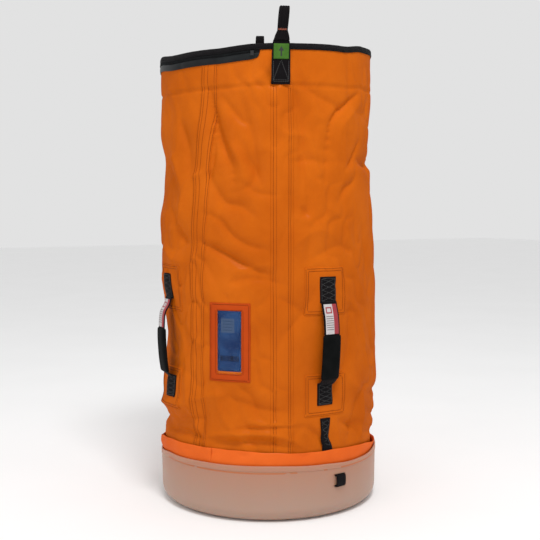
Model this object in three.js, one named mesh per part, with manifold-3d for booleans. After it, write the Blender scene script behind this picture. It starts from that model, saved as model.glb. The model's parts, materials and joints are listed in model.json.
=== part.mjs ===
// Lifting bag: an open-mouthed cylinder of orange coated fabric that stands in a rigid plastic tray.
// A black webbing sling runs under the bag and ends in two lifting loops above the rim.
// Units are millimetres. +Z is up, and the origin is the centre of the tray's flat underside.
// Angles are in degrees round +Z, from the front (-Y) towards the right (+X).

import * as THREE from 'three';
import { mergeVertices } from 'three/addons/utils/BufferGeometryUtils.js';
import Module from 'manifold-3d';

const wasm = await Module();
wasm.setup();

// ---------- driving dimensions ----------

const GAP = 0.3; // clearance between pieces that touch
const STEP = 7.5; // widest facet of a curved piece
const RING_SIDES = 48; // facets round a full ring

// fabric wall, narrower where it drops into the tray
const WALL_RADIUS = 209.5;
const WALL_RADIUS_LOW = 205;
const WALL_THICKNESS = 1.6;
const WALL_BOTTOM = 8;
const WALL_TOP = 868;
const TAPER_LOW = 150;
const TAPER_HIGH = 170;
const SEAM_LEFT = -68.5;
const SEAM_RIGHT = 111.5;
const SEAM_TAPE_WIDTH = 29;
const FABRIC = 0.8;
const WEBBING = 2;

// moulded tray
const TRAY = { radius: 215.2, lipRadius: 216.4, height: 104, lip: 9, inner: 212.3, floor: 4, corner: 22 };
const TRAY_INNER_CORNER = 5;
const FLOOR_RADIUS = 202.6;
const STIFFENER_THICKNESS = 3;

// skirt that stands up between the wall and the tray
const SKIRT = { bottom: 88, top: 127, inner: 210.5, thickness: 0.7 };

// mouth
const HEM_LOW = 795;
const RIM = { bottom: 861, top: 873, thickness: 1 };
const ZIP = { low: 845, from: -192, to: -35.5, innerFrom: -13, innerTo: 144 };
const SLIDER_ANGLE = -186;
const PULL = { length: 29, width: 8, thickness: 2, eye: 3 };

// lifting sling and its two loops
const LOOP_ANGLE = -24.5;
const SLING_WIDTH = 35;
const SLING_PLANE_LOW = 205.3;
const SLING_PLANE = 211.9;
const SLING_TOP = 874;
const SLING_COVER_WIDTH = 46;
const SLING_COVER_TOP = 797;
const LOOP = { bottom: 882, neck: 892, top: 938, hole: 20, width: 18, leg: 2.5 };
const LABEL = { size: 28, low: 838, thickness: 0.7 };

// four carrying handles in two opposed pairs
const HANDLES = { front: 0, left: -95, back: 180, right: 85 };
const HANDLE_WIDTH = 34;
const PATCH_WIDTH = 90;
const PATCH_UPPER = [374, 463];
const PATCH_LOWER = [188, 266];
const TAB_UPPER = [397, 445];
const TAB_LOWER = [208, 255];
const BOW_THICKNESS = 2.4;
const GRIP = { low: 258, high: 342, width: 38, thickness: 7 };
const TAG = { low: 345, high: 384, width: 30, thickness: 0.7 };
// centre line of the free webbing: distance from the wall, height
const BOW = [
  [11, 385.5], [15, 366], [18, 342], [19.5, 318],
  [19.5, 290], [18, 270], [15, 258], [11.5, 249.5],
];
// where a sewn end's lip stops: distance from the wall, height past the end of the flat part
const LIP_UPPER = [7.5, 8];
const LIP_LOWER = [5, 2.5];

// window pocket for an identity card
const POCKET_ANGLE = -50.5;
const POCKET = { width: 82, low: 254, high: 398 };
const WINDOW = { width: 46, low: 270, high: 382 };
const CARD = { width: 42, low: 273, high: 386 };

// straps that lash the bag into the tray
const BASE_STRAPS = [0, 120, -142.5];
const STRAP = { width: 25, top: 184, turn: 102, turnHeight: 20, exit: 77, end: 57, lean: 7.5 };
const SLOT = { width: 28, height: 6 };

// ---------- materials ----------

const paint = (color, roughness, metalness = 0) => (
  new THREE.MeshStandardMaterial({ color, roughness, metalness })
);
const MATERIALS = {
  fabric: () => paint(0xe8711c, 0.55),
  skirt: () => paint(0xf58a3c, 0.4),
  webbing: () => paint(0x17171a, 0.8),
  tray: () => paint(0xd8b9a6, 0.45),
  board: () => paint(0xe6e2da, 0.6),
  label: () => paint(0x4fa04a, 0.6),
  tag: () => paint(0xece8e6, 0.6),
  grip: () => paint(0x121314, 0.65),
  window: () => paint(0xbfd0d8, 0.15),
  card: () => paint(0x2f5fa8, 0.6),
  zip: () => paint(0x1c1c20, 0.5),
  metal: () => paint(0x8d9094, 0.35, 0.9),
};

// ---------- shape helpers ----------

const radians = (degrees) => (degrees * Math.PI) / 180;

// Radius at which a faceted plate clears a round surface of the given radius.
const clearOf = (radius) => (radius + GAP) / Math.cos(radians(STEP / 2));

const outline = (points) => new THREE.Shape(points.map(([x, y]) => new THREE.Vector2(x, y)));

// A closed [radius, height] section swept round Z between two angles.
function bentPlate(section, from, to) {
  const steps = Math.ceil((to - from) / STEP);
  const geometry = new THREE.ExtrudeGeometry(outline(section), { depth: 1, steps, bevelEnabled: false });
  const place = geometry.attributes.position;
  for (let i = 0; i < place.count; i += 1) {
    const radius = place.getX(i);
    const angle = radians(to - place.getZ(i) * (to - from));
    place.setXYZ(i, radius * Math.sin(angle), -radius * Math.cos(angle), place.getY(i));
  }
  return geometry;
}

// A closed [radius, height] section swept the whole way round Z.
function ring(section) {
  const points = section.map(([radius, height]) => new THREE.Vector2(radius, height));
  const geometry = new THREE.LatheGeometry([...points, points[0].clone()], RING_SIDES);
  return geometry.rotateX(Math.PI / 2);
}

// A solid of revolution whose [radius, height] profile starts and ends on the axis.
function turned(profile) {
  const points = profile.map(([radius, height]) => new THREE.Vector2(radius, height));
  return new THREE.LatheGeometry(points, RING_SIDES).rotateX(Math.PI / 2);
}

const arcWidth = (width, radius) => (width / radius) * (180 / Math.PI);

// The [radius, height] section of a plate that stands straight up.
const upright = (inner, thickness, low, high) => [
  [inner, low], [inner + thickness, low], [inner + thickness, high], [inner, high],
];

// A plate of constant thickness on the straight part of the wall.
function wallPlate(angle, width, low, high, inner, thickness) {
  const half = arcWidth(width, inner) / 2;
  return bentPlate(upright(inner, thickness, low, high), angle - half, angle + half);
}

// A [radius, height] section that follows the wall's taper, pushed out by `stand`.
function followWall(low, high, stand, thickness, lowStand = stand) {
  const inner = [
    [WALL_RADIUS_LOW + lowStand, low],
    [WALL_RADIUS_LOW + lowStand, TAPER_LOW],
    [WALL_RADIUS + stand, TAPER_HIGH],
    [WALL_RADIUS + stand, high],
  ];
  const outer = inner.map(([radius, height]) => [radius + thickness, height]);
  return [...outer, ...inner.reverse()];
}

// A closed outline round a centre line, `thickness` across.
function ribbonOutline(line, thickness) {
  const side = (sign) => line.map(([x, y], i) => {
    const [ax, ay] = line[Math.max(i - 1, 0)];
    const [bx, by] = line[Math.min(i + 1, line.length - 1)];
    const length = Math.hypot(bx - ax, by - ay);
    const shift = (sign * thickness) / 2 / length;
    return [x - (by - ay) * shift, y + (bx - ax) * shift];
  });
  return [...side(1), ...side(-1).reverse()];
}

// Outline x becomes -Y, outline y becomes Z, and the depth becomes -X.
const ONTO_FRONT = new THREE.Matrix4().set(0, 0, -1, 0, -1, 0, 0, 0, 0, 1, 0, 0, 0, 0, 0, 1);

// A [radius, height] shape given a straight width across the front of the bag (at -Y).
function shapeAcross(shape, width) {
  const geometry = new THREE.ExtrudeGeometry(shape, { depth: width, bevelEnabled: false });
  return geometry.translate(0, 0, -width / 2).applyMatrix4(ONTO_FRONT);
}

const crosswise = (section, width) => shapeAcross(outline(section), width);

function toSolid(geometry) {
  const bare = geometry.clone();
  bare.deleteAttribute('normal');
  bare.deleteAttribute('uv');
  const merged = mergeVertices(bare, 1e-4);
  const vertProperties = merged.attributes.position.array;
  const triVerts = Uint32Array.from(merged.index.array);
  return new wasm.Manifold(new wasm.Mesh({ numProp: 3, vertProperties, triVerts }));
}

function fromSolid(solid) {
  const mesh = solid.getMesh();
  const geometry = new THREE.BufferGeometry();
  geometry.setAttribute('position', new THREE.BufferAttribute(mesh.vertProperties, 3));
  geometry.setIndex(new THREE.BufferAttribute(mesh.triVerts, 1));
  geometry.computeVertexNormals();
  return geometry;
}

function cut(body, tools) {
  return fromSolid(tools.reduce((solid, tool) => solid.subtract(toSolid(tool)), toSolid(body)));
}

function joined(pieces) {
  return fromSolid(pieces.map(toSolid).reduce((solid, piece) => solid.add(piece)));
}

const bag = new THREE.Group();

function add(name, geometry, material, turn = 0) {
  const mesh = new THREE.Mesh(geometry, MATERIALS[material]());
  mesh.name = name;
  mesh.rotation.z = radians(turn);
  bag.add(mesh);
}

// ---------- tray, floor and skirt ----------

function trayProfile() {
  const arc = (cx, cy, radius, from, to, steps) => Array.from({ length: steps + 1 }, (_, i) => {
    const angle = radians(from + ((to - from) * i) / steps);
    return [cx + radius * Math.cos(angle), cy + radius * Math.sin(angle)];
  });
  const { radius, lipRadius, height, lip, inner, floor, corner } = TRAY;
  const innerCorner = TRAY_INNER_CORNER;
  return [
    [0, 0],
    ...arc(radius - corner, corner, corner, -90, 0, 4),
    [radius, height - lip - 1],
    [lipRadius, height - lip],
    [lipRadius, height - 1],
    [lipRadius - 1, height],
    [inner, height],
    ...arc(inner - innerCorner, floor + innerCorner, innerCorner, 0, -90, 3),
    [0, floor],
  ];
}

function traySlot(strapAngle, height) {
  const block = new THREE.BoxGeometry(SLOT.width, 24, SLOT.height);
  block.translate(0, -TRAY.radius, height);
  return block.rotateZ(radians(strapAngle + STRAP.lean));
}

function tray() {
  const slots = BASE_STRAPS.flatMap((angle) => [traySlot(angle, STRAP.exit), traySlot(angle, STRAP.end)]);
  add('base_tray', cut(turned(trayProfile()), slots), 'tray');
}

const disc = (radius, low, high) => turned([[0, low], [radius, low], [radius, high], [0, high]]);

function floors() {
  const fabricTop = WALL_BOTTOM + FABRIC;
  add('bag_floor', disc(FLOOR_RADIUS, WALL_BOTTOM, fabricTop), 'fabric');
  const boardLow = fabricTop + GAP;
  add('floor_stiffener', disc(FLOOR_RADIUS - 2, boardLow, boardLow + STIFFENER_THICKNESS), 'board');
}

function skirt() {
  const { inner, thickness, bottom, top } = SKIRT;
  add('base_skirt', ring(upright(inner, thickness, bottom, top)), 'skirt');
}

// ---------- wall, seams and mouth ----------

const seamGap = arcWidth(GAP, WALL_RADIUS_LOW) / 2;
const skinStand = clearOf(WALL_RADIUS) - WALL_RADIUS;
const skinRadius = WALL_RADIUS + skinStand;

function wall() {
  const section = followWall(WALL_BOTTOM, WALL_TOP, -WALL_THICKNESS, WALL_THICKNESS);
  add('wall_panel_front', bentPlate(section, SEAM_LEFT + seamGap, SEAM_RIGHT - seamGap), 'fabric');
  add('wall_panel_back', bentPlate(section, SEAM_RIGHT + seamGap, SEAM_LEFT + 360 - seamGap), 'fabric');
}

function seamTapes() {
  const section = followWall(WALL_BOTTOM + 5, ZIP.low - 1, skinStand, FABRIC);
  const half = arcWidth(SEAM_TAPE_WIDTH, WALL_RADIUS) / 2;
  add('seam_tape_left', bentPlate(section, SEAM_LEFT - half, SEAM_LEFT + half), 'fabric');
  add('seam_tape_right', bentPlate(section, SEAM_RIGHT - half, SEAM_RIGHT + half), 'fabric');
}

function hemFacing() {
  const outer = (WALL_RADIUS - WALL_THICKNESS) * Math.cos(radians(STEP / 2)) - GAP;
  add('hem_facing', ring(upright(outer - 1, 1, HEM_LOW, RIM.bottom - 1)), 'fabric');
}

// U-shaped tape folded over the raw edge of the mouth.
function rimBinding() {
  const outside = skinRadius + RIM.thickness;
  const insideOuter = (WALL_RADIUS - WALL_THICKNESS) * Math.cos(radians(STEP / 2)) - GAP;
  const inside = insideOuter - RIM.thickness;
  const under = WALL_TOP + GAP;
  const section = [
    [inside, RIM.bottom], [insideOuter, RIM.bottom], [insideOuter, under],
    [skinRadius, under], [skinRadius, RIM.bottom], [outside, RIM.bottom],
    [outside, RIM.top], [inside, RIM.top],
  ];
  add('rim_binding', ring(section), 'webbing');
}

function zipTapes() {
  const tape = (inner, from, to) => bentPlate(upright(inner, 1, ZIP.low, RIM.bottom - GAP), from, to);
  const facingInner = (WALL_RADIUS - WALL_THICKNESS) * Math.cos(radians(STEP / 2)) - GAP - 1;
  const innerTape = facingInner * Math.cos(radians(STEP / 2)) - GAP - 1;
  add('zip_tape_outer', tape(skinRadius, ZIP.from, ZIP.to), 'zip');
  add('zip_tape_inner', tape(innerTape, ZIP.innerFrom, ZIP.innerTo), 'zip');
}

const zipFace = clearOf(skinRadius + 1);
const zipMiddle = (ZIP.low + RIM.bottom) / 2;
const PULL_AXIS_RADIUS = zipFace + 7;

function zipStop() {
  add('zip_end_stop', wallPlate(ZIP.to - 3, 6, zipMiddle - 4.5, zipMiddle + 4.5, zipFace, 2.5), 'metal');
}

// Slider body with two cheeks and the cross pin on which the pull hangs.
function zipSlider() {
  const body = outline([[-9, -6], [9, -4], [9, 4], [-9, 6]]);
  const plate = new THREE.ExtrudeGeometry(body, { depth: 3, bevelEnabled: false });
  plate.rotateX(Math.PI / 2);
  plate.translate(0, -zipFace, zipMiddle);
  const cheek = new THREE.BoxGeometry(1.6, 7, 4);
  const cheekY = -zipFace - 5.5;
  const cheeks = [-5.2, 5.2].map((x) => cheek.clone().translate(x, cheekY, zipMiddle));
  const pin = new THREE.CylinderGeometry(0.9, 0.9, 10.4, 8).rotateZ(Math.PI / 2);
  pin.translate(0, -PULL_AXIS_RADIUS, zipMiddle);
  add('zip_slider', joined([plate, ...cheeks, pin]), 'metal', SLIDER_ANGLE);
}

// Flat pull with a round eye at its upper end.
function zipPull() {
  const { length, width, thickness, eye } = PULL;
  const blade = outline([[-width / 2, 0], [-width / 2, -length + 2], [-width / 2 + 2, -length],
    [width / 2 - 2, -length], [width / 2, -length + 2], [width / 2, 0]]);
  const plate = new THREE.ExtrudeGeometry(blade, { depth: thickness, bevelEnabled: false });
  plate.rotateX(Math.PI / 2);
  plate.translate(0, thickness / 2, 0);
  const head = new THREE.CylinderGeometry(eye, eye, width, 12).rotateZ(Math.PI / 2);
  const bore = new THREE.CylinderGeometry(1.3, 1.3, width + 4, 12).rotateZ(Math.PI / 2);
  const pull = cut(joined([head, plate]), [bore]);
  pull.translate(0, -PULL_AXIS_RADIUS, zipMiddle);
  add('zip_pull', pull, 'metal', SLIDER_ANGLE);
}

// ---------- lifting sling and loops ----------

// One webbing that runs down the front, under the floor and up the back.
function sling() {
  const under = TRAY.floor + 1.6;
  const inner = [
    [SLING_PLANE, SLING_TOP],
    [SLING_PLANE, TAPER_HIGH],
    [SLING_PLANE_LOW, TAPER_LOW],
    [SLING_PLANE_LOW, under + WEBBING],
  ];
  const outer = [
    [SLING_PLANE_LOW + WEBBING, under],
    [SLING_PLANE_LOW + WEBBING, TAPER_LOW],
    [SLING_PLANE + WEBBING, TAPER_HIGH],
    [SLING_PLANE + WEBBING, SLING_TOP],
  ];
  const mirror = (points) => points.map(([radius, height]) => [-radius, height]).reverse();
  const section = [...inner, ...mirror(inner), ...mirror(outer), ...outer];
  add('lifting_sling', crosswise(section, SLING_WIDTH), 'webbing', LOOP_ANGLE);
}

function slingCovers() {
  const corner = (plane) => Math.hypot(plane + WEBBING, SLING_WIDTH / 2);
  const stand = clearOf(corner(SLING_PLANE)) - WALL_RADIUS;
  const lowStand = clearOf(corner(SLING_PLANE_LOW)) - WALL_RADIUS_LOW;
  const section = followWall(WALL_BOTTOM + 5, SLING_COVER_TOP, stand, FABRIC, lowStand);
  const half = arcWidth(SLING_COVER_WIDTH, WALL_RADIUS) / 2;
  add('sling_cover_front', bentPlate(section, LOOP_ANGLE - half, LOOP_ANGLE + half), 'fabric');
  add('sling_cover_back', bentPlate(section, LOOP_ANGLE + 180 - half, LOOP_ANGLE + 180 + half), 'fabric');
}

// The folded webbing above the rim: a narrow neck that opens into an eye.
function loopEye() {
  const { leg } = LOOP;
  const middle = SLING_PLANE + WEBBING / 2;
  const reach = LOOP.hole / 2 + leg;
  const outer = [
    [-leg, LOOP.bottom], [leg, LOOP.bottom], [leg, LOOP.neck - 4], [reach, LOOP.neck + 8],
    [reach, LOOP.top - 6], [reach - 6, LOOP.top], [6 - reach, LOOP.top], [-reach, LOOP.top - 6],
    [-reach, LOOP.neck + 8], [-leg, LOOP.neck - 4],
  ];
  const inner = reach - leg;
  const hole = [
    [0, LOOP.neck], [inner, LOOP.neck + 9], [inner, LOOP.top - 8], [inner - 5, LOOP.top - 2.5],
    [5 - inner, LOOP.top - 2.5], [-inner, LOOP.top - 8], [-inner, LOOP.neck + 9],
  ];
  const shift = (points) => points.map(([offset, height]) => [middle + offset, height]);
  const shape = outline(shift(outer));
  shape.holes.push(new THREE.Path(shift(hole).map(([x, y]) => new THREE.Vector2(x, y))));
  return shapeAcross(shape, LOOP.width);
}

function loopLabel() {
  const plate = new THREE.BoxGeometry(LABEL.size, LABEL.thickness, LABEL.size);
  const face = SLING_PLANE + WEBBING + GAP + LABEL.thickness / 2;
  return plate.translate(0, -face, LABEL.low + LABEL.size / 2);
}

function loops() {
  const sides = { front: LOOP_ANGLE, back: LOOP_ANGLE + 180 };
  for (const [side, angle] of Object.entries(sides)) {
    add(`loop_eye_${side}`, loopEye(), 'webbing', angle);
    add(`loop_label_${side}`, loopLabel(), 'label', angle);
  }
}

// ---------- carrying handles ----------

const patchFace = clearOf(skinRadius + FABRIC);

const offsetBow = (points) => points.map(([stand, height]) => [WALL_RADIUS + stand, height]);

// The part of the bow's centre line between two heights, ends included.
function bowBetween(low, high) {
  const curve = new THREE.CatmullRomCurve3(BOW.map(([stand, height]) => new THREE.Vector3(stand, height, 0)));
  const points = curve.getPoints(36).map((point) => [point.x, point.y]);
  return points.filter(([, height]) => height >= low && height <= high);
}

const thinned = (points, count) => Array.from({ length: count }, (_, i) => (
  points[Math.round((i * (points.length - 1)) / (count - 1))]
));

function bowRibbon(low, high, thickness, width, count, push = 0) {
  const line = thinned(bowBetween(low, high), count).map(([stand, height]) => [stand + push, height]);
  return crosswise(ribbonOutline(offsetBow(line), thickness), width);
}

// A sewn webbing end: flat on its patch, with a lip that turns out into the bow.
function tab(far, near, [lipStand, lipLength]) {
  const face = patchFace + WEBBING / 2 - WALL_RADIUS;
  const turn = Math.sign(near - far);
  const line = [[face, far], [face, near - turn * 2], [lipStand, near + turn * lipLength]];
  return crosswise(ribbonOutline(offsetBow(line), WEBBING), HANDLE_WIDTH);
}

function grip() {
  const sleeve = bowRibbon(GRIP.low, GRIP.high, GRIP.thickness, GRIP.width, 7);
  const bore = bowRibbon(0, TAB_UPPER[0], BOW_THICKNESS + 2 * GAP, HANDLE_WIDTH + 2 * GAP, 12);
  return cut(sleeve, [bore]);
}

function handle(side, angle) {
  const name = (piece) => `handle_${side}_${piece}`;
  const plate = ([low, high]) => wallPlate(0, PATCH_WIDTH, low, high, skinRadius, FABRIC);
  add(name('patch_upper'), plate(PATCH_UPPER), 'fabric', angle);
  add(name('patch_lower'), plate(PATCH_LOWER), 'fabric', angle);
  add(name('tab_upper'), tab(TAB_UPPER[1], TAB_UPPER[0], LIP_UPPER), 'webbing', angle);
  add(name('tab_lower'), tab(TAB_LOWER[0], TAB_LOWER[1], LIP_LOWER), 'webbing', angle);
  add(name('strap'), bowRibbon(0, TAB_UPPER[0], BOW_THICKNESS, HANDLE_WIDTH, 12), 'webbing', angle);
  add(name('grip'), grip(), 'grip', angle);
  const tagPush = BOW_THICKNESS / 2 + GAP + TAG.thickness;
  add(name('tag'), bowRibbon(TAG.low, TAG.high, TAG.thickness, TAG.width, 3, tagPush), 'tag', angle);
}

// ---------- card pocket ----------

function cardPocket() {
  const cardFace = skinRadius;
  const windowFace = clearOf(cardFace + 0.5);
  const frameFace = clearOf(windowFace + 0.5);
  const pane = WINDOW.width + 8;
  add('id_card', wallPlate(POCKET_ANGLE, CARD.width, CARD.low, CARD.high, cardFace, 0.5), 'card');
  add(
    'id_pocket_window',
    wallPlate(POCKET_ANGLE, pane, WINDOW.low - 4, WINDOW.high + 4, windowFace, 0.5),
    'window',
  );
  const sheet = wallPlate(POCKET_ANGLE, POCKET.width, POCKET.low, POCKET.high, frameFace, FABRIC);
  const opening = wallPlate(POCKET_ANGLE, WINDOW.width, WINDOW.low, WINDOW.high, frameFace - 3, 8);
  add('id_pocket_frame', cut(sheet, [opening]), 'fabric');
}

// ---------- base straps ----------

// Down the wall and behind the skirt, where the webbing turns aside and goes out through one
// slot in the tray and back in through the next.
function baseStrap() {
  const stand = 2 * GAP + WEBBING / 2;
  const high = WALL_RADIUS + stand;
  const low = WALL_RADIUS_LOW + stand;
  const lap = STRAP.turnHeight / 4;
  const wallRun = [[high, STRAP.top], [high, TAPER_HIGH], [low, TAPER_LOW], [low, STRAP.turn + lap]];
  const outside = TRAY.radius + 1.6 + WEBBING / 2;
  const trayRun = [
    [low, STRAP.turn - lap], [low, STRAP.exit + 5], [low + 2, STRAP.exit + 1],
    [outside - 2, STRAP.exit], [outside, STRAP.exit - 3], [outside, STRAP.end + 3],
    [outside - 2, STRAP.end], [TRAY.inner - 3, STRAP.end],
  ];
  const webbing = (line) => crosswise(ribbonOutline(line, WEBBING), STRAP.width);
  const slope = (radians(STRAP.lean) * low) / STRAP.turnHeight;
  const slant = new THREE.Matrix4().set(1, 0, -slope, slope * STRAP.turn, 0, 1, 0, 0, 0, 0, 1, 0, 0, 0, 0, 1);
  const turnRun = [[low, STRAP.turn + STRAP.turnHeight / 2], [low, STRAP.turn - STRAP.turnHeight / 2]];
  return joined([
    webbing(wallRun),
    webbing(turnRun).applyMatrix4(slant).rotateZ(radians(STRAP.lean / 2)),
    webbing(trayRun).rotateZ(radians(STRAP.lean)),
  ]);
}

// ---------- assembly ----------

tray();
floors();
skirt();
wall();
seamTapes();
hemFacing();
rimBinding();
zipTapes();
zipStop();
zipSlider();
zipPull();
sling();
slingCovers();
loops();
cardPocket();
Object.entries(HANDLES).forEach(([side, angle]) => handle(side, angle));
BASE_STRAPS.forEach((angle, i) => add(`base_strap_${i + 1}`, baseStrap(), 'webbing', angle));

export default bag;
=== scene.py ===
"""Looks of the hoisting bag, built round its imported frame.

Metres, +Z up. Angles are degrees round +Z, from the front (-Y) towards the right (+X).
"""
import json
import math
import random

import bmesh
import bpy
import numpy as np
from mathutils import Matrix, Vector


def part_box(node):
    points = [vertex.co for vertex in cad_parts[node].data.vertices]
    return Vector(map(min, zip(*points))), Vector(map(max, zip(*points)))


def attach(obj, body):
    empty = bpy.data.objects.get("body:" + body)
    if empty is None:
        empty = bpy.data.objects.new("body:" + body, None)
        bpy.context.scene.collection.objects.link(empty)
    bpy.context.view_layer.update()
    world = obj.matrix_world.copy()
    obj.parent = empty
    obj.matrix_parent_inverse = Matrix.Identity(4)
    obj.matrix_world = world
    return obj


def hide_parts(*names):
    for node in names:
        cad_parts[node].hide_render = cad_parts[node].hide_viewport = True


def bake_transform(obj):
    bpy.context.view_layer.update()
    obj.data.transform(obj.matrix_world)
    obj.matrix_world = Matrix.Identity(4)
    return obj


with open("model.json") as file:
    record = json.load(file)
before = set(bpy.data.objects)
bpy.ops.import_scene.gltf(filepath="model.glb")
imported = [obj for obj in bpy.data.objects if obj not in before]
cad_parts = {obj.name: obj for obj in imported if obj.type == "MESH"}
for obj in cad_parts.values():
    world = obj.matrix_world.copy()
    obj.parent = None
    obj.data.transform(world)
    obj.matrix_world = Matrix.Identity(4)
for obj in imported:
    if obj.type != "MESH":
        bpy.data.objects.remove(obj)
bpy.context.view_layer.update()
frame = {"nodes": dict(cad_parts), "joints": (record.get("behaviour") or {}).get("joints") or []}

MM = 0.001

# ---------- places taken from the frame ----------

JOINTS = {joint["name"]: joint for joint in frame["joints"]}


def joint_angle(name):
    """Where a joint stands round the bag."""
    x, y, _ = JOINTS[name]["pos_m"]
    return math.degrees(math.atan2(x, -y))


def top_of(node):
    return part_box(node)[1].z


def bottom_of(node):
    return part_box(node)[0].z


HANDLE_ANGLES = {side: joint_angle(f"handle_{side}_swing") for side in ("front", "left", "back", "right")}
LOOP_ANGLES = {side: joint_angle(f"loop_{side}_fold") for side in ("front", "back")}
LOOP_AXIS_RADIUS = math.hypot(*JOINTS["loop_front_fold"]["pos_m"][:2])
WALL_LOW = bottom_of("wall_panel_front")
RIM_TOP = top_of("rim_binding")
HEM_LINE = bottom_of("hem_facing")
TRAY_TOP = top_of("base_tray")
TRAY_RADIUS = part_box("base_tray")[1].y
SKIRT_TOP = top_of("base_skirt")
CARD_LOW, CARD_TOP = bottom_of("id_card"), top_of("id_card")
POCKET_LOW, POCKET_TOP = bottom_of("id_pocket_frame"), top_of("id_pocket_frame")

# ---------- driving dimensions ----------

VIEW_SIDE = -30.5  # the side of the bag that faces the camera
CAMERA_DISTANCE = 1.9
CAMERA_HEIGHT = 0.57
CAMERA_LENS = 62.07
CAMERA_SHIFT = -0.113
CAMERA_ASIDE = 0.0028

WALL_RADIUS = 0.2095
FABRIC = 1.2 * MM
WEBBING = 2.2 * MM
COLUMNS = 384  # round the wall
ROWS = 240  # up the wall
SLING_WIDTH = 35 * MM
HANDLE_WEBBING = 34 * MM
TAPE_WIDTH = 36 * MM
POCKET_ANGLE = -50.5
POCKET_WALL = 0.2105  # the wall's radius behind the card
POCKET_WIDTH = 80 * MM
WINDOW_WIDTH = 48 * MM
WINDOW_MARGIN = 15 * MM

# Outline of the wall at its left and right sides as seen by the camera: height, radius.
LEFT_SIDE = [
    (0.10, 0.2095), (0.118, 0.2140), (0.132, 0.2090), (0.150, 0.2015), (0.168, 0.2045), (0.186, 0.2085),
    (0.203, 0.2100), (0.228, 0.2120), (0.275, 0.2084), (0.326, 0.2034), (0.386, 0.2064), (0.427, 0.2143), (0.487, 0.2163), (0.548, 0.2193),
    (0.608, 0.2124), (0.659, 0.2104), (0.72, 0.2193), (0.79, 0.2163), (0.87, 0.2175),
]
RIGHT_SIDE = [
    (0.12, 0.2085), (0.19, 0.2105), (0.235, 0.2155), (0.28, 0.213), (0.32, 0.2145), (0.40, 0.2155),
    (0.49, 0.2135), (0.54, 0.210), (0.62, 0.2065), (0.645, 0.2075), (0.66, 0.2015), (0.74, 0.205), (0.79, 0.2085),
    (0.88, 0.2065),
]
# Mean outline all round.
MEAN_SIDE = [(0.0, 0.2045), (0.13, 0.2055), (0.18, 0.2085), (0.3, 0.2090), (0.6, 0.2095), (0.9, 0.2095)]
# How far the rim stands above or below its mean height: angle from the view side, metres.
RIM_SWAY = [
    (-130, -0.006), (-78, -0.003), (-56, -0.010), (-28, -0.009), (-4, -0.003), (7, -0.002),
    (41, 0.001), (60, 0.009), (85, 0.014), (125, 0.009), (180, 0.0),
]
# How far the tray's lip dips: angle from the view side, metres.
TRAY_SWAY = [
    (-170, -0.004), (-120, -0.007), (-88, -0.0145), (-60, -0.004), (-30, -0.001), (0, 0.0), (28, -0.003),
    (45, -0.0065), (60, -0.0065), (76, -0.004), (90, -0.002), (140, 0.0),
]
# Height of the skirt's upper edge.
SKIRT_EDGE = [
    (-145, 0.116), (-105, 0.107), (-88, 0.1135), (-74, 0.1225), (-59, 0.1268), (-31, 0.1291), (-13, 0.1289),
    (2, 0.1267), (17, 0.1239), (34, 0.1241), (51, 0.1206), (84, 0.1080), (104, 0.104), (125, 0.105), (165, 0.118),
]
# How far the left seam has drifted sideways: height, degrees.
SEAM_DRIFT = [(0.1, -0.5), (0.3, -2.0), (0.43, -1.2), (0.5, -0.2), (0.62, 0.8), (0.8, 6.5), (0.87, 7.5)]

FOLD_STRENGTH = 2.7
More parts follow.
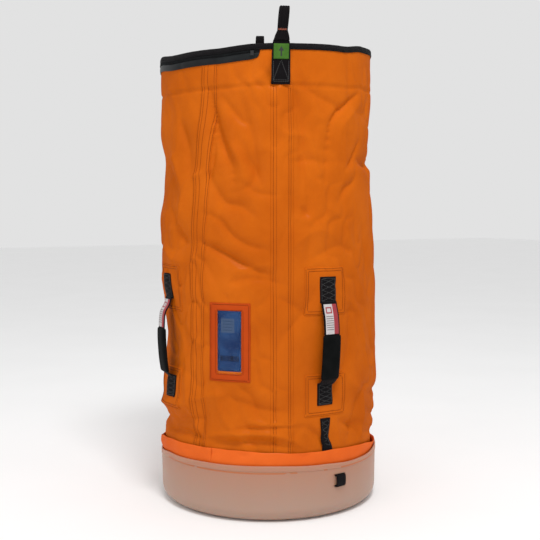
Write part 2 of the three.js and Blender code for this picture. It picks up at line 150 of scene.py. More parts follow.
# Folds pressed into the wall: points (angle from the view side, height), how far it stands out (mm),
# half width (mm). Negative folds run inwards.
FOLDS = [
    ([(-31, 0.79), (-27, 0.72), (-23, 0.68), (-19, 0.65), (-18, 0.62)], -5.0, 9),
    ([(-30, 0.755), (-29, 0.72), (-30, 0.66), (-33, 0.62)], -2.6, 5),
    ([(-24, 0.775), (-15, 0.735), (-10, 0.725)], -3.0, 9),
    ([(-15, 0.70), (-11, 0.665), (-7, 0.64), (-3, 0.61)], -3.5, 14),
    ([(-20, 0.69), (-14, 0.655), (-12, 0.61)], 3.5, 16),
    ([(-33, 0.635), (-24, 0.585), (-14, 0.575), (-8, 0.56)], -4.0, 14),
    ([(-34, 0.562), (-26, 0.550), (-19, 0.524), (-12, 0.506), (0, 0.494)], -2.6, 6),
    ([(-36, 0.508), (-24, 0.489), (-13, 0.468), (0, 0.450)], -4.6, 7),
    ([(-22, 0.452), (-10, 0.462), (2, 0.468)], 1.0, 5),
    ([(-24, 0.43), (-12, 0.442), (0, 0.440), (8, 0.43)], -2.0, 8),
    ([(-14, 0.62), (-6, 0.60), (4, 0.595)], -1.8, 7),
    ([(12, 0.655), (22, 0.66), (30, 0.65)], -1.6, 7),
    ([(-34, 0.44), (-22, 0.425), (-10, 0.43)], 1.0, 12),
    ([(-52, 0.74), (-47, 0.69), (-45, 0.63)], -3.5, 12),
    ([(-60, 0.68), (-52, 0.62), (-50, 0.57)], 3.5, 14),
    ([(-62, 0.57), (-52, 0.52), (-45, 0.505)], -4.0, 12),
    ([(-80, 0.66), (-66, 0.64), (-56, 0.60)], -4.5, 16),
    ([(-72, 0.50), (-60, 0.475), (-48, 0.47)], 3.0, 12),
    ([(55, 0.790), (44, 0.765), (36, 0.742), (33, 0.72), (31, 0.67), (30, 0.62)], -3.4, 4),
    ([(58, 0.70), (50, 0.66), (44, 0.645)], -2.4, 4),
    ([(56, 0.77), (42, 0.725), (38, 0.67)], 2.0, 14),
    ([(39, 0.585), (45, 0.61), (52, 0.625), (54, 0.65)], -2.6, 6),
    ([(90, 0.665), (70, 0.655), (56, 0.665)], -4.0, 10),
    ([(16, 0.575), (21, 0.555)], -2.2, 6),
    ([(12, 0.50), (24, 0.53), (36, 0.52)], 2.4, 18),
    ([(20, 0.475), (38, 0.50), (50, 0.49)], -2.4, 16),
    ([(60, 0.54), (66, 0.47), (68, 0.40)], -3.0, 16),
    ([(-88, 0.150), (-66, 0.160)], -2.0, 9),
    ([(-86, 0.185), (-64, 0.195), (-46, 0.20)], 4.5, 11),
    ([(-70, 0.140), (-52, 0.146), (-36, 0.143)], -3.0, 6),
    ([(-34, 0.148), (-22, 0.156), (-8, 0.160), (4, 0.157), (13, 0.146), (19, 0.132)], 3.0, 4),
    ([(-28, 0.138), (-16, 0.143), (-2, 0.145), (10, 0.136)], -2.6, 4),
    ([(-20, 0.163), (-10, 0.169), (4, 0.172), (18, 0.170)], -2.2, 3),
    ([(-70, 0.170), (-58, 0.164), (-46, 0.174), (-34, 0.180)], -3.0, 9),
    ([(-56, 0.205), (-44, 0.212), (-28, 0.226), (-14, 0.224)], 1.6, 9),
    ([(-10, 0.182), (0, 0.176), (12, 0.178)], 2.4, 7),
    ([(20, 0.17), (27, 0.15), (30, 0.13)], -2.6, 6),
    ([(-20, 0.225), (-4, 0.205), (8, 0.20)], -3.0, 12),
    ([(40, 0.175), (52, 0.155), (58, 0.135)], -4.0, 9),
    ([(62, 0.215), (74, 0.208), (88, 0.205)], -1.8, 8),
    ([(-12, 0.36), (-6, 0.32), (-5, 0.27)], -2.0, 12),
    ([(4, 0.41), (16, 0.385), (22, 0.36)], -1.8, 10),
    ([(118, 0.74), (128, 0.68), (126, 0.60)], -5.0, 16),
    ([(140, 0.52), (152, 0.49), (168, 0.50)], 5.0, 12),
    ([(138, 0.48), (154, 0.455), (172, 0.46)], -5.0, 14),
    ([(-110, 0.77), (-118, 0.70), (-130, 0.66)], -5.0, 14),
    ([(-150, 0.60), (-136, 0.565), (-124, 0.57)], 4.5, 12),
    ([(-160, 0.56), (-142, 0.525), (-126, 0.53)], -4.5, 13),
    ([(100, 0.165), (122, 0.155), (144, 0.165)], -6.0, 13),
    ([(-160, 0.16), (-136, 0.15), (-112, 0.16)], -6.0, 13),
    ([(170, 0.74), (176, 0.67), (184, 0.61)], -4.0, 14),
]

# ---------- small maths ----------


def eased(points, at, period=None):
    """Smooth interpolation through (place, value) points."""
    places = np.array([p for p, _ in points], float)
    values = np.array([v for _, v in points], float)
    at = np.asarray(at, float)
    if period:
        places = np.concatenate([places, places[:1] + period])
        values = np.concatenate([values, values[:1]])
        at = (at - places[0]) % period + places[0]
    at = np.clip(at, places[0], places[-1])
    i = np.clip(np.searchsorted(places, at, side="right") - 1, 0, len(places) - 2)
    t = (at - places[i]) / (places[i + 1] - places[i])
    t = t * t * (3 - 2 * t)
    return values[i] * (1 - t) + values[i + 1] * t


def unit(vectors):
    return vectors / np.maximum(np.linalg.norm(vectors, axis=-1, keepdims=True), 1e-12)


def around(radius, angle, height):
    """A point from its radius, angle and height."""
    a = np.radians(angle)
    radius, a, height = np.broadcast_arrays(radius, a, height)
    return np.stack([radius * np.sin(a), -radius * np.cos(a), height], axis=-1)


def outward(angle):
    a = math.radians(angle)
    return np.array([math.sin(a), -math.cos(a), 0.0])


def sideways(angle):
    a = math.radians(angle)
    return np.array([math.cos(a), math.sin(a), 0.0])


def smooth_curve(points, count):
    """Catmull-Rom through a few points, resampled to even steps."""
    p = np.array(points, float)
    p = np.vstack([2 * p[0] - p[1], p, 2 * p[-1] - p[-2]])
    fine = []
    for i in range(1, len(p) - 2):
        t = np.linspace(0, 1, 24, endpoint=False)[:, None]
        fine.append(0.5 * (
            2 * p[i]
            + (p[i + 1] - p[i - 1]) * t
            + (2 * p[i - 1] - 5 * p[i] + 4 * p[i + 1] - p[i + 2]) * t ** 2
            + (3 * p[i] - p[i - 1] - 3 * p[i + 1] + p[i + 2]) * t ** 3
        ))
    fine = np.vstack([*fine, p[-2][None]])
    return evenly(fine, count)


def evenly(points, count):
    """A polyline resampled to count points at even distances."""
    run = np.concatenate([[0], np.cumsum(np.linalg.norm(np.diff(points, axis=0), axis=1))])
    at = np.linspace(0, run[-1], count)
    return np.stack([np.interp(at, run, points[:, k]) for k in range(points.shape[1])], axis=1)


# ---------- the wall's surface ----------


def rim_height(angle):
    """Height of the wall's upper edge."""
    return RIM_TOP - 2 * MM + eased(RIM_SWAY, np.asarray(angle, float) - VIEW_SIDE, 360)


def fold_shape(angle, height, points, depth, width):
    """How far one fold moves the wall, with a crisp crest and long flanks."""
    crest = 1.3
    line = smooth_curve([((a + VIEW_SIDE), z) for a, z in points], 40)
    reach_deg = math.degrees(3 * width * MM / WALL_RADIUS)
    gap = (angle[:, :1] - line[:, 0].mean() + 180) % 360 - 180
    half = (line[:, 0].max() - line[:, 0].min()) / 2 + reach_deg
    near = np.where(np.abs(gap[:, 0]) < half + 5)[0]
    moved = np.zeros_like(height)
    if not len(near):
        return moved
    x = np.radians(gap[near]) * WALL_RADIUS * 1000
    x = np.repeat(x, height.shape[1], axis=1)
    z = height[near] * 1000
    lx = np.radians(line[:, 0] - line[:, 0].mean()) * WALL_RADIUS * 1000
    lz = line[:, 1] * 1000
    best = np.full(x.shape, 1e9)
    share = np.zeros(x.shape)
    for k in range(len(line)):
        d = (x - lx[k]) ** 2 + (z - lz[k]) ** 2
        closer = d < best
        best = np.where(closer, d, best)
        share = np.where(closer, k / (len(line) - 1), share)
    distance = np.sqrt(best + crest ** 2) - crest
    taper = np.sin(np.pi * (0.08 + 0.84 * share)) ** 0.8
    moved[near] = depth * MM * taper * np.exp(-distance / width)
    return moved


def wave_noise(angle, height, seed, across, along, count=26):
    """Soft seeded unevenness that closes on itself round the bag."""
    rng = np.random.default_rng(seed)
    total = np.zeros_like(height)
    for _ in range(count):
        turns = rng.integers(across[0], across[1])
        rise = rng.uniform(*along) * rng.choice([-1, 1])
        total += np.sin(np.radians(angle) * turns + height * rise + rng.uniform(0, 6.283))
    return total / math.sqrt(count)


def crease_lines(angle, height, seed, across, along, depth, width):
    """Long crisp creases that follow the level lines of a smooth noise and fade in and out."""
    field = wave_noise(angle, height, seed, across, along, 18)
    slope_z = np.gradient(field, axis=1) / np.maximum(np.gradient(height, axis=1), 1e-6)
    wrapped = np.vstack([field[-1:], field, field[:1]])
    slope_a = (wrapped[2:] - wrapped[:-2]) / (2 * math.radians(360 / COLUMNS) * WALL_RADIUS)
    distance = np.abs(field) / np.maximum(np.hypot(slope_z, slope_a), 4)
    fade = np.clip(wave_noise(angle, height, seed + 100, (1, 6), (3, 16), 10) * 0.9 + 0.3, 0, 1)
    blunt = 1.5 * MM
    distance = np.sqrt(distance ** 2 + blunt ** 2) - blunt
    return depth * MM * fade * np.exp(-distance / (width * MM))


def build_surface():
    """Radius of the wall's outside on an even grid of angles and shares of its height."""
    columns = np.arange(COLUMNS) * 360 / COLUMNS
    shares = np.linspace(0, 1, ROWS + 1)
    angle = np.repeat(columns[:, None], ROWS + 1, axis=1)
    height = WALL_LOW + shares[None] * (rim_height(columns)[:, None] - WALL_LOW)
    seen = (angle - VIEW_SIDE + 180) % 360 - 180
    mean = eased(MEAN_SIDE, height)
    left = (eased(LEFT_SIDE, height) - mean) * np.exp(-(((seen + 85) / 42) ** 2))
    right = (eased(RIGHT_SIDE, height) - mean) * np.exp(-(((seen - 85) / 42) ** 2))
    above_tray = np.clip((height - 0.10) / 0.04, 0, 1)
    radius = mean + (left + right) * above_tray
    free = above_tray * np.clip((rim_height(columns)[:, None] - height) / 0.06, 0.25, 1)
    radius += 1.1 * MM * free * wave_noise(angle, height, 3, (2, 9), (4, 22))
    radius += 0.35 * MM * free * wave_noise(angle, height, 4, (10, 26), (20, 70))
    radius -= free * crease_lines(angle, height, 31, (3, 9), (6, 22), 5.5, 9)
    radius += free * crease_lines(angle, height, 32, (4, 12), (8, 30), 4.5, 8)
    radius -= free * crease_lines(angle, height, 33, (9, 22), (20, 60), 3.2, 4.5)
    near_tray = np.exp(-(((height - 0.15) / 0.035) ** 2))
    radius -= near_tray * crease_lines(angle, height, 34, (3, 10), (60, 120), 6.5, 7)
    for points, depth, width in FOLDS:
        radius += FOLD_STRENGTH * fold_shape(angle, height, points, depth, width) * above_tray
    radius = behind_card(angle, height, radius)
    above_hem = height - hem_height(columns)[:, None]
    radius += 0.9 * MM * np.clip(above_hem / 0.004, -0.5, 0.5) * np.exp(-np.abs(above_hem) / 0.03)
    radius -= 2.4 * MM * np.exp(-((above_hem / 0.0032) ** 2))
    return radius


def behind_card(angle, height, radius):
    """Flat under the stiff card, and nowhere proud of it where the card slides out above."""
    aside = np.abs((angle - POCKET_ANGLE + 180) % 360 - 180)
    pocket = np.clip((13.5 - aside) / 3.5, 0, 1)
    pocket = pocket * np.clip((height - POCKET_LOW + 0.016) / 0.02, 0, 1)
    pocket = pocket * np.clip((POCKET_TOP + 0.014 - height) / 0.02, 0, 1)
    pocket = pocket * pocket * (3 - 2 * pocket)
    radius = radius + (POCKET_WALL - radius) * 0.92 * pocket
    path = np.clip((11 - aside) / 4, 0, 1) * (height > POCKET_LOW) * np.clip((CARD_TOP + 0.17 - height) / 0.03, 0, 1)
    return radius - np.maximum(radius - POCKET_WALL, 0) * path


def hem_height(angle):
    """Height of the stitched line that holds the hem facing."""
    return HEM_LINE + 0.002 + 0.55 * (rim_height(angle) - RIM_TOP + 2 * MM)


SURFACE = build_surface()


def wall_radius(angle, height):
    """Radius of the wall's outside, by interpolation."""
    angle, height = np.broadcast_arrays(np.asarray(angle, float), np.asarray(height, float))
    column = (angle % 360) / 360 * COLUMNS
    row = (height - WALL_LOW) / (rim_height(angle) - WALL_LOW) * ROWS
    row = np.clip(row, 0, ROWS - 1e-6)
    i = np.floor(column).astype(int) % COLUMNS
    j = np.floor(row).astype(int)
    u, v = column - np.floor(column), row - j
    k = (i + 1) % COLUMNS
    low = SURFACE[i, j] * (1 - u) + SURFACE[k, j] * u
    high = SURFACE[i, j + 1] * (1 - u) + SURFACE[k, j + 1] * u
    return low * (1 - v) + high * v


def on_wall(angle, height, lift=0.0):
    """Points lifted off the wall, and the wall's normals there."""
    angle, height = np.broadcast_arrays(np.asarray(angle, float), np.asarray(height, float))
    step_a, step_z = 0.6, 0.0025
    here = around(wall_radius(angle, height), angle, height)
    along = around(wall_radius(angle + step_a, height), angle + step_a, height) - here
    up = around(wall_radius(angle, height + step_z), angle, height + step_z) - here
    normal = unit(np.cross(along, up))
    return here + normal * np.asarray(lift)[..., None], normal


def degrees_wide(width):
    return math.degrees(width / WALL_RADIUS)


# ---------- meshes ----------


def finish_mesh(name, mesh, material, body):
    """Links a mesh, shades it smooth, and hands it to a body."""
    mesh.update()
    obj = bpy.data.objects.new(name, mesh)
    bpy.context.scene.collection.objects.link(obj)
    for one in material if isinstance(material, (list, tuple)) else [material]:
        mesh.materials.append(one)
    mesh.polygons.foreach_set("use_smooth", [True] * len(mesh.polygons))
    if body:
        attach(obj, body)
    return obj


def mesh_from(name, points, faces, uvs=None):
    """A mesh from points and faces, with face normals turned outwards and a map in metres."""
    mesh = bpy.data.meshes.new(name)
    mesh.from_pydata(np.asarray(points, float).tolist(), [], faces)
    if uvs is not None:
        layer = mesh.uv_layers.new(name="cloth")
        loops = np.zeros(len(mesh.loops), np.int32)
        mesh.loops.foreach_get("vertex_index", loops)
        layer.data.foreach_set("uv", np.asarray(uvs, np.float32)[loops].ravel())
    bm = bmesh.new()
    bm.from_mesh(mesh)
    bmesh.ops.recalc_face_normals(bm, faces=bm.faces)
    bm.to_mesh(mesh)
    bm.free()
    return mesh


def quads(index, wrap_rows=False, wrap_columns=False):
    """Faces between the neighbours of an index grid."""
    if wrap_rows:
        index = np.vstack([index, index[:1]])
    if wrap_columns:
        index = np.hstack([index, index[:, :1]])
    return np.stack([index[:-1, :-1], index[1:, :-1], index[1:, 1:], index[:-1, 1:]], axis=-1).reshape(-1, 4)


def shell(name, outer, inner, uvs):
    """A closed sheet between two grids of points."""
    n, m = outer.shape[:2]
    top = np.arange(n * m).reshape(n, m)
    low = top + n * m
    edge = np.concatenate([top[0], top[1:, -1], top[-1, -2::-1], top[-2:0:-1, 0]])
    faces = [quads(top), quads(low)[:, ::-1]]
    ring = np.stack([edge, np.roll(edge, -1)], axis=1)
    faces.append(np.stack([ring[:, 1], ring[:, 0], ring[:, 0] + n * m, ring[:, 1] + n * m], axis=1))
    points = np.concatenate([outer.reshape(-1, 3), inner.reshape(-1, 3)])
    uvs = np.concatenate([uvs.reshape(-1, 2)] * 2)
    return mesh_from(name, points, np.concatenate(faces).tolist(), uvs)


def closed_ring(name, section, uvs):
    """A closed band: section is (steps round, points of a closed section, 3)."""
    n, m = section.shape[:2]
    index = np.arange(n * m).reshape(n, m)
    faces = quads(index, wrap_rows=True, wrap_columns=True)
    return mesh_from(name, section.reshape(-1, 3), faces.tolist(), uvs.reshape(-1, 2))


def ribbon(name, line, normal, across, width, thickness, columns=10, creases=()):
    """Webbing swept along a line, with lengthwise creases at shares of its half width."""
    line = np.asarray(line, float)
    n = len(line)
    width = np.broadcast_to(width, n)[:, None, None]
    thickness = np.broadcast_to(thickness, n)[:, None, None]
    share = np.linspace(-1, 1, columns + 1)
    soft = np.sqrt(np.clip(1 - np.abs(share) ** 8, 0.04, 1))
    for crease in creases:
        soft = soft * (1 - 0.45 * np.exp(-(((share - crease) / 0.07) ** 2)))
    side = across[:, None, :] * width * share[None, :, None] / 2
    rise = normal[:, None, :] * thickness * soft[None, :, None] / 2
    outer = line[:, None, :] + side + rise
    inner = line[:, None, :] + side - rise
    run = np.concatenate([[0], np.cumsum(np.linalg.norm(np.diff(line, axis=0), axis=1))])
    flat = width[:, 0] * share[None] / 2
    uvs = np.stack([flat, np.repeat(run[:, None], columns + 1, axis=1)], axis=-1)
    return shell(name, outer, inner, uvs)


def rounded(x, y, half_x, half_y, corner):
    """Pulls the corners of a rectangular grid in to an arc."""
    dx = np.abs(x) - (half_x - corner)
    dy = np.abs(y) - (half_y - corner)
    inside = (dx > 0) & (dy > 0)
    length = np.maximum(np.hypot(dx, dy), 1e-9)
    pull = np.where(inside & (length > corner), corner / length, 1)
    nx = np.where(inside, np.sign(x) * (half_x - corner + dx * pull), x)
    ny = np.where(inside, np.sign(y) * (half_y - corner + dy * pull), y)
    return nx, ny


def sewn_sheet(name, angle, low, high, width, material, lift=0.2 * MM, thickness=FABRIC,
               corner=1.5 * MM, cell=2 * MM, seams=(), drift=None, hole=None, body="root"):
    """A flat piece sewn on the wall. It dips along its seams, which are insets from its edge."""
    half_x, half_y = width / 2, (high - low) / 2
    n = max(4, int(width / cell))
    m = max(4, int((high - low) / cell))
    x, y = np.meshgrid(np.linspace(-half_x, half_x, n + 1), np.linspace(-half_y, half_y, m + 1), indexing="ij")
    x, y = rounded(x, y, half_x, half_y, corner)
    edge = np.minimum(half_x - np.abs(x), half_y - np.abs(y))
    dip = np.zeros_like(x)
    for inset in seams:
        dip += np.exp(-(((edge - inset) / (1.1 * MM)) ** 2))
    puff = np.clip(edge / (1.5 * MM), 0.15, 1) ** 0.5
    height = (low + high) / 2 + y
    centre = angle + (eased(drift, height) if drift else 0)
    turned = centre + np.degrees(x / WALL_RADIUS)
    outer, _ = on_wall(turned, height, lift + thickness * puff - 0.45 * MM * dip)
    inner, _ = on_wall(turned, height, np.full_like(x, lift - 0.3 * MM))
    if hole:
        mesh = framed(name, outer, inner, np.stack([x, y], axis=-1), hole)
    else:
        mesh = shell(name, outer, inner, np.stack([x, y], axis=-1))
    return finish_mesh(name, mesh, material, body)


def framed(name, outer, inner, uvs, hole):
    """A closed sheet with a rectangular window of half sizes `hole` left out."""
    n, m = outer.shape[:2]
    index = np.arange(n * m).reshape(n, m)
    faces = quads(index)
    flat = uvs.reshape(-1, 2)
    centre = flat[faces].mean(axis=1)
    keep = (np.abs(centre[:, 0]) > hole[0]) | (np.abs(centre[:, 1]) > hole[1])
    faces = faces[keep]
    edges = np.concatenate([faces[:, [0, 1]], faces[:, [1, 2]], faces[:, [2, 3]], faces[:, [3, 0]]])
    ordered = np.sort(edges, axis=1)
    _, first, uses = np.unique(ordered, axis=0, return_index=True, return_counts=True)
    border = edges[first[uses == 1]]
    walls = np.stack([border[:, 1], border[:, 0], border[:, 0] + n * m, border[:, 1] + n * m], axis=1)
    every = np.concatenate([faces, faces[:, ::-1] + n * m, walls])
    points = np.concatenate([outer.reshape(-1, 3), inner.reshape(-1, 3)])
    used = np.unique(every)
    place = np.zeros(len(points), int)
    place[used] = np.arange(len(used))
    return mesh_from(name, points[used], place[every].tolist(), np.concatenate([flat, flat])[used])


# ---------- stitches ----------


class Thread:
    """Collects stitches and makes them one mesh."""

    def __init__(self, radius):
        self.radius = radius
        self.starts, self.ends, self.normals = [], [], []

    def sew(self, points, normals, pitch=3.4 * MM, length=3.35 * MM):
        """Even stitches along a line of surface points."""
        run = np.concatenate([[0], np.cumsum(np.linalg.norm(np.diff(points, axis=0), axis=1))])
        starts = np.arange(pitch * 0.3, run[-1] - length, pitch)
        if not len(starts):
            return

        def at(distance, values):
            return np.stack([np.interp(distance, run, values[:, k]) for k in range(3)], axis=1)

        self.starts.append(at(starts, points))
        self.ends.append(at(starts + length, points))
        self.normals.append(unit(at(starts + length / 2, normals)))

    def on_wall(self, corners, lift, closed=False, **options):
        """Stitches along straight stretches between (angle, height) corners."""
        corners = list(corners) + ([corners[0]] if closed else [])
        for (a, z), (b, y) in zip(corners[:-1], corners[1:]):
            distance = math.hypot(math.radians(b - a) * WALL_RADIUS, y - z)
            steps = max(2, int(distance / (3 * MM)))
            share = np.linspace(0, 1, steps + 1)
            points, normals = on_wall(a + (b - a) * share, z + (y - z) * share, np.full(steps + 1, lift))
            self.sew(points, normals, **options)

    def box(self, angle, low, high, width, inset, lift, **options):
        """A sewn rectangle, inset from a piece's edge."""
        half = degrees_wide(width / 2 - inset)
        low, high = low + inset, high - inset
        corners = [(angle - half, low), (angle + half, low), (angle + half, high), (angle - half, high)]
        self.on_wall(corners, lift, closed=True, **options)

    def build(self, name, material, body):
        """One closed lens of thread for each stitch."""
        start, end = np.vstack(self.starts), np.vstack(self.ends)
        normal = np.vstack(self.normals)
        along = unit(end - start)
        side = np.cross(along, normal)
        rings = []
        for share, rise, scale in ((0.0, -0.5, 0.5), (0.25, 0.5, 1.0), (0.75, 0.5, 1.0), (1.0, -0.5, 0.5)):
            centre = start + (end - start) * share + normal * self.radius * rise
            r = self.radius * scale
            ring = np.stack([centre + side * r, centre + normal * r, centre - side * r, centre - normal * r], axis=1)
            rings.append(ring)
        points = np.stack(rings, axis=1)  # stitch, station, corner, xyz
        count = len(start)
        index = np.arange(count * 16).reshape(count, 4, 4)
        faces = []
        for k in range(3):
            for c in range(4):
                d = (c + 1) % 4
                faces.append(np.stack([index[:, k, c], index[:, k, d], index[:, k + 1, d], index[:, k + 1, c]], axis=1))
        faces.append(index[:, 0, ::-1])
        faces.append(index[:, 3, :])
        mesh = bpy.data.meshes.new(name)
        mesh.from_pydata(points.reshape(-1, 3).tolist(), [], np.concatenate(faces).tolist())
        bm = bmesh.new()
        bm.from_mesh(mesh)
        bmesh.ops.recalc_face_normals(bm, faces=bm.faces)
        bm.to_mesh(mesh)
        bm.free()
        return finish_mesh(name, mesh, material, body)


orange_thread = Thread(0.45 * MM)
grey_thread = Thread(0.45 * MM)

# ---------- materials ----------


class Shader:
    """A material with a Principled shader, and short calls for the nodes that feed it."""

    def __init__(self, name, color, roughness, **values):
        self.material = bpy.data.materials.new(name)
        self.material.use_nodes = True
        self.tree = self.material.node_tree
        self.shader = self.tree.nodes["Principled BSDF"]
        self.shader.inputs["Base Color"].default_value = (*color, 1)
        self.shader.inputs["Roughness"].default_value = roughness
        for key, value in values.items():
            self.shader.inputs[key.replace("_", " ").title().replace("Ior", "IOR")].default_value = value
        self.height = None

    def node(self, kind, **settings):
        made = self.tree.nodes.new(kind)
        for key, value in settings.items():
            setattr(made, key, value)
        return made

    def link(self, source, target):
        self.tree.links.new(source, target)

    def place(self):
        return self.node("ShaderNodeTexCoord").outputs["Object"]

    def cloth(self):
        return self.node("ShaderNodeUVMap", uv_map="cloth").outputs["UV"]

    def maths(self, operation, first, second=0.0):
        made = self.node("ShaderNodeMath", operation=operation)
        for socket, value in zip(made.inputs, (first, second)):
            if isinstance(value, (int, float)):
                socket.default_value = value
            else:
                self.link(value, socket)
        return made.outputs[0]

    def noise(self, scale, detail=4, roughness=0.5, source=None, kind="FBM", distortion=0.0):
        made = self.node("ShaderNodeTexNoise", noise_type=kind)
        made.inputs["Scale"].default_value = scale
        made.inputs["Detail"].default_value = detail
        made.inputs["Roughness"].default_value = roughness
        made.inputs["Distortion"].default_value = distortion
        self.link(source or self.place(), made.inputs["Vector"])
        return made.outputs["Fac"]

    def mixed(self, factor, first, second, low=0.3, high=0.7):
        """Base colour that runs between two colours as factor goes from low to high."""
        ramp = self.node("ShaderNodeValToRGB")
        ramp.color_ramp.elements[0].position = low
        ramp.color_ramp.elements[1].position = high
        ramp.color_ramp.elements[0].color = (*first, 1)
        ramp.color_ramp.elements[1].color = (*second, 1)
        self.link(factor, ramp.inputs["Fac"])
        self.link(ramp.outputs["Color"], self.shader.inputs["Base Color"])
        return ramp.outputs["Color"]

    def over(self, mask, base, color):
        """Lays a plain colour over another where mask is 1."""
        mix = self.node("ShaderNodeMix", data_type="RGBA")
        self.link(mask, mix.inputs["Factor"])
        self.link(base, mix.inputs["A"])
        mix.inputs["B"].default_value = (*color, 1)
        self.link(mix.outputs["Result"], self.shader.inputs["Base Color"])
        return mix.outputs["Result"]

    def rough(self, factor, low, high):
        spread = self.node("ShaderNodeMapRange")
        self.link(factor, spread.inputs["Value"])
        spread.inputs["To Min"].default_value = low
        spread.inputs["To Max"].default_value = high
        self.link(spread.outputs["Result"], self.shader.inputs["Roughness"])

    def bump(self, factor, distance, strength=1.0):
        """Adds a bump on top of those already there."""
        made = self.node("ShaderNodeBump")
        made.inputs["Distance"].default_value = distance
        made.inputs["Strength"].default_value = strength
        self.link(factor, made.inputs["Height"])
        if self.height:
            self.link(self.height, made.inputs["Normal"])
        self.height = made.outputs["Normal"]
        self.link(self.height, self.shader.inputs["Normal"])

    def weave(self, across, along):
        """Height of a plain weave with threads so far apart."""
        split = self.node("ShaderNodeSeparateXYZ")
        self.link(self.cloth(), split.inputs[0])
        x = self.maths("MULTIPLY", split.outputs["X"], math.tau / across)
        y = self.maths("MULTIPLY", split.outputs["Y"], math.tau / along)
        return self.maths("MULTIPLY", self.maths("SINE", x), self.maths("SINE", y))

    def patch(self, low, high):
        """1 inside a rectangle of the cloth map, 0 outside."""
        split = self.node("ShaderNodeSeparateXYZ")
        self.link(self.cloth(), split.inputs[0])
        masks = []
        for axis, a, b in (("X", low[0], high[0]), ("Y", low[1], high[1])):
            masks.append(self.maths("GREATER_THAN", split.outputs[axis], a))
            masks.append(self.maths("LESS_THAN", split.outputs[axis], b))
        return self.maths("MULTIPLY", self.maths("MULTIPLY", masks[0], masks[1]),
                          self.maths("MULTIPLY", masks[2], masks[3]))


def coated_fabric(name, dark, light, roughness, coat):
    """Polymer-coated cloth: a fine weave under a soft satin coat, with handling creases."""
    s = Shader(name, light, roughness, coat_weight=coat, coat_roughness=0.32, specular_ior_level=0.0)
    s.mixed(s.noise(9, 5, 0.6), dark, light, 0.32, 0.68)
    s.rough(s.noise(34, 3), roughness - 0.07, roughness + 0.08)
    s.bump(s.noise(9, 2, 0.5, distortion=0.5), 12 * MM, 0.4)
    s.bump(s.noise(22, 4, 0.55, kind="RIDGED_MULTIFRACTAL", distortion=0.6), 1.6 * MM, 0.4)
    s.bump(s.noise(130, 4, 0.6), 0.5 * MM, 0.35)
    s.bump(s.weave(1.3 * MM, 1.3 * MM), 0.08 * MM, 0.5)
    return s.material


def webbing_material(name, dark, light, across=3.4 * MM, along=1.5 * MM):
    """Woven webbing: rows of warp bundles with ribs across, with painted shade in the weave's hollows and painted light
    on its crests.
    """
    s = Shader(name, light, 0.78, sheen_weight=0.03, sheen_roughness=0.5, specular_ior_level=0.08)
    woven = s.weave(across, along)
    # painted shade and light: the colour darkens into the weave's hollows and lightens on its crests, following the
    # bump's height
    s.mixed(woven, dark, light, 0.25, 0.8)
    s.rough(s.noise(90, 3), 0.62, 0.85)
    s.bump(woven, 0.5 * MM, 0.9)
    s.bump(s.noise(700, 2), 0.15 * MM, 0.5)
    return s.material


def tray_material():
    """Translucent moulded polyethylene: milky, faintly pink where the orange shows through."""
    s = Shader("tray_plastic", (0.52, 0.32, 0.24), 0.42, subsurface_weight=0.3, subsurface_scale=0.012,
               specular_ior_level=0.25)
    split = s.node("ShaderNodeSeparateXYZ")
    s.link(s.place(), split.inputs[0])
    wobble = s.maths("MULTIPLY", s.noise(6, 4), 0.03)
    height = s.maths("ADD", split.outputs["Z"], wobble)
    base = s.mixed(height, (0.41, 0.262, 0.200), (0.42, 0.202, 0.128), 0.04, 0.12)
    near_lip = s.maths("SUBTRACT", 1.0, s.maths("MULTIPLY", s.maths("ABSOLUTE", s.maths(
        "SUBTRACT", split.outputs["Z"], TRAY_TOP - 0.0135)), 420.0))
    streak = s.maths("MULTIPLY", s.maths("MAXIMUM", near_lip, 0.0), s.maths("GREATER_THAN", s.noise(9, 3), 0.46))
    s.over(streak, base, (0.46, 0.13, 0.04))
    s.rough(s.noise(24, 4), 0.36, 0.5)
    s.bump(s.noise(14, 3), 1.2 * MM, 0.18)
    s.bump(s.noise(420, 3), 0.12 * MM, 0.35)
    return s.material


def rubber_material():
    s = Shader("grip_rubber", (0.006, 0.007, 0.007), 0.6, specular_ior_level=0.04)
    s.mixed(s.noise(60, 4), (0.0022, 0.0026, 0.0026), (0.0050, 0.0054, 0.0056))
    s.rough(s.noise(120, 3), 0.5, 0.7)
    s.bump(s.noise(1400, 2), 0.15 * MM, 0.6)
    return s.material


def thread_material(name, color):
    s = Shader(name, color, 0.7, specular_ior_level=0.08)
    s.mixed(s.noise(900, 2), tuple(c * 0.7 for c in color), color)
    return s.material


def board_material():
    s = Shader("floor_board", (0.62, 0.58, 0.52), 0.55)
    s.mixed(s.noise(12, 4), (0.55, 0.50, 0.44), (0.68, 0.64, 0.58))
    s.bump(s.noise(220, 3), 0.1 * MM, 0.4)
    return s.material


def label_material():
    """Green woven label with a paler edge."""
    s = Shader("green_label", (0.07, 0.19, 0.02), 0.6, specular_ior_level=0.15)
    base = s.mixed(s.noise(80, 3), (0.038, 0.112, 0.010), (0.052, 0.145, 0.015))
    s.bump(s.weave(0.8 * MM, 0.8 * MM), 0.12 * MM, 0.6)
    return s.material, base


def plain_material(name, dark, light, roughness, **values):
    s = Shader(name, light, roughness, **values)
    s.mixed(s.noise(50, 4), dark, light)
    s.rough(s.noise(160, 3), max(roughness - 0.08, 0.02), roughness + 0.08)
    s.bump(s.noise(500, 3), 0.08 * MM, 0.4)
    return s.material


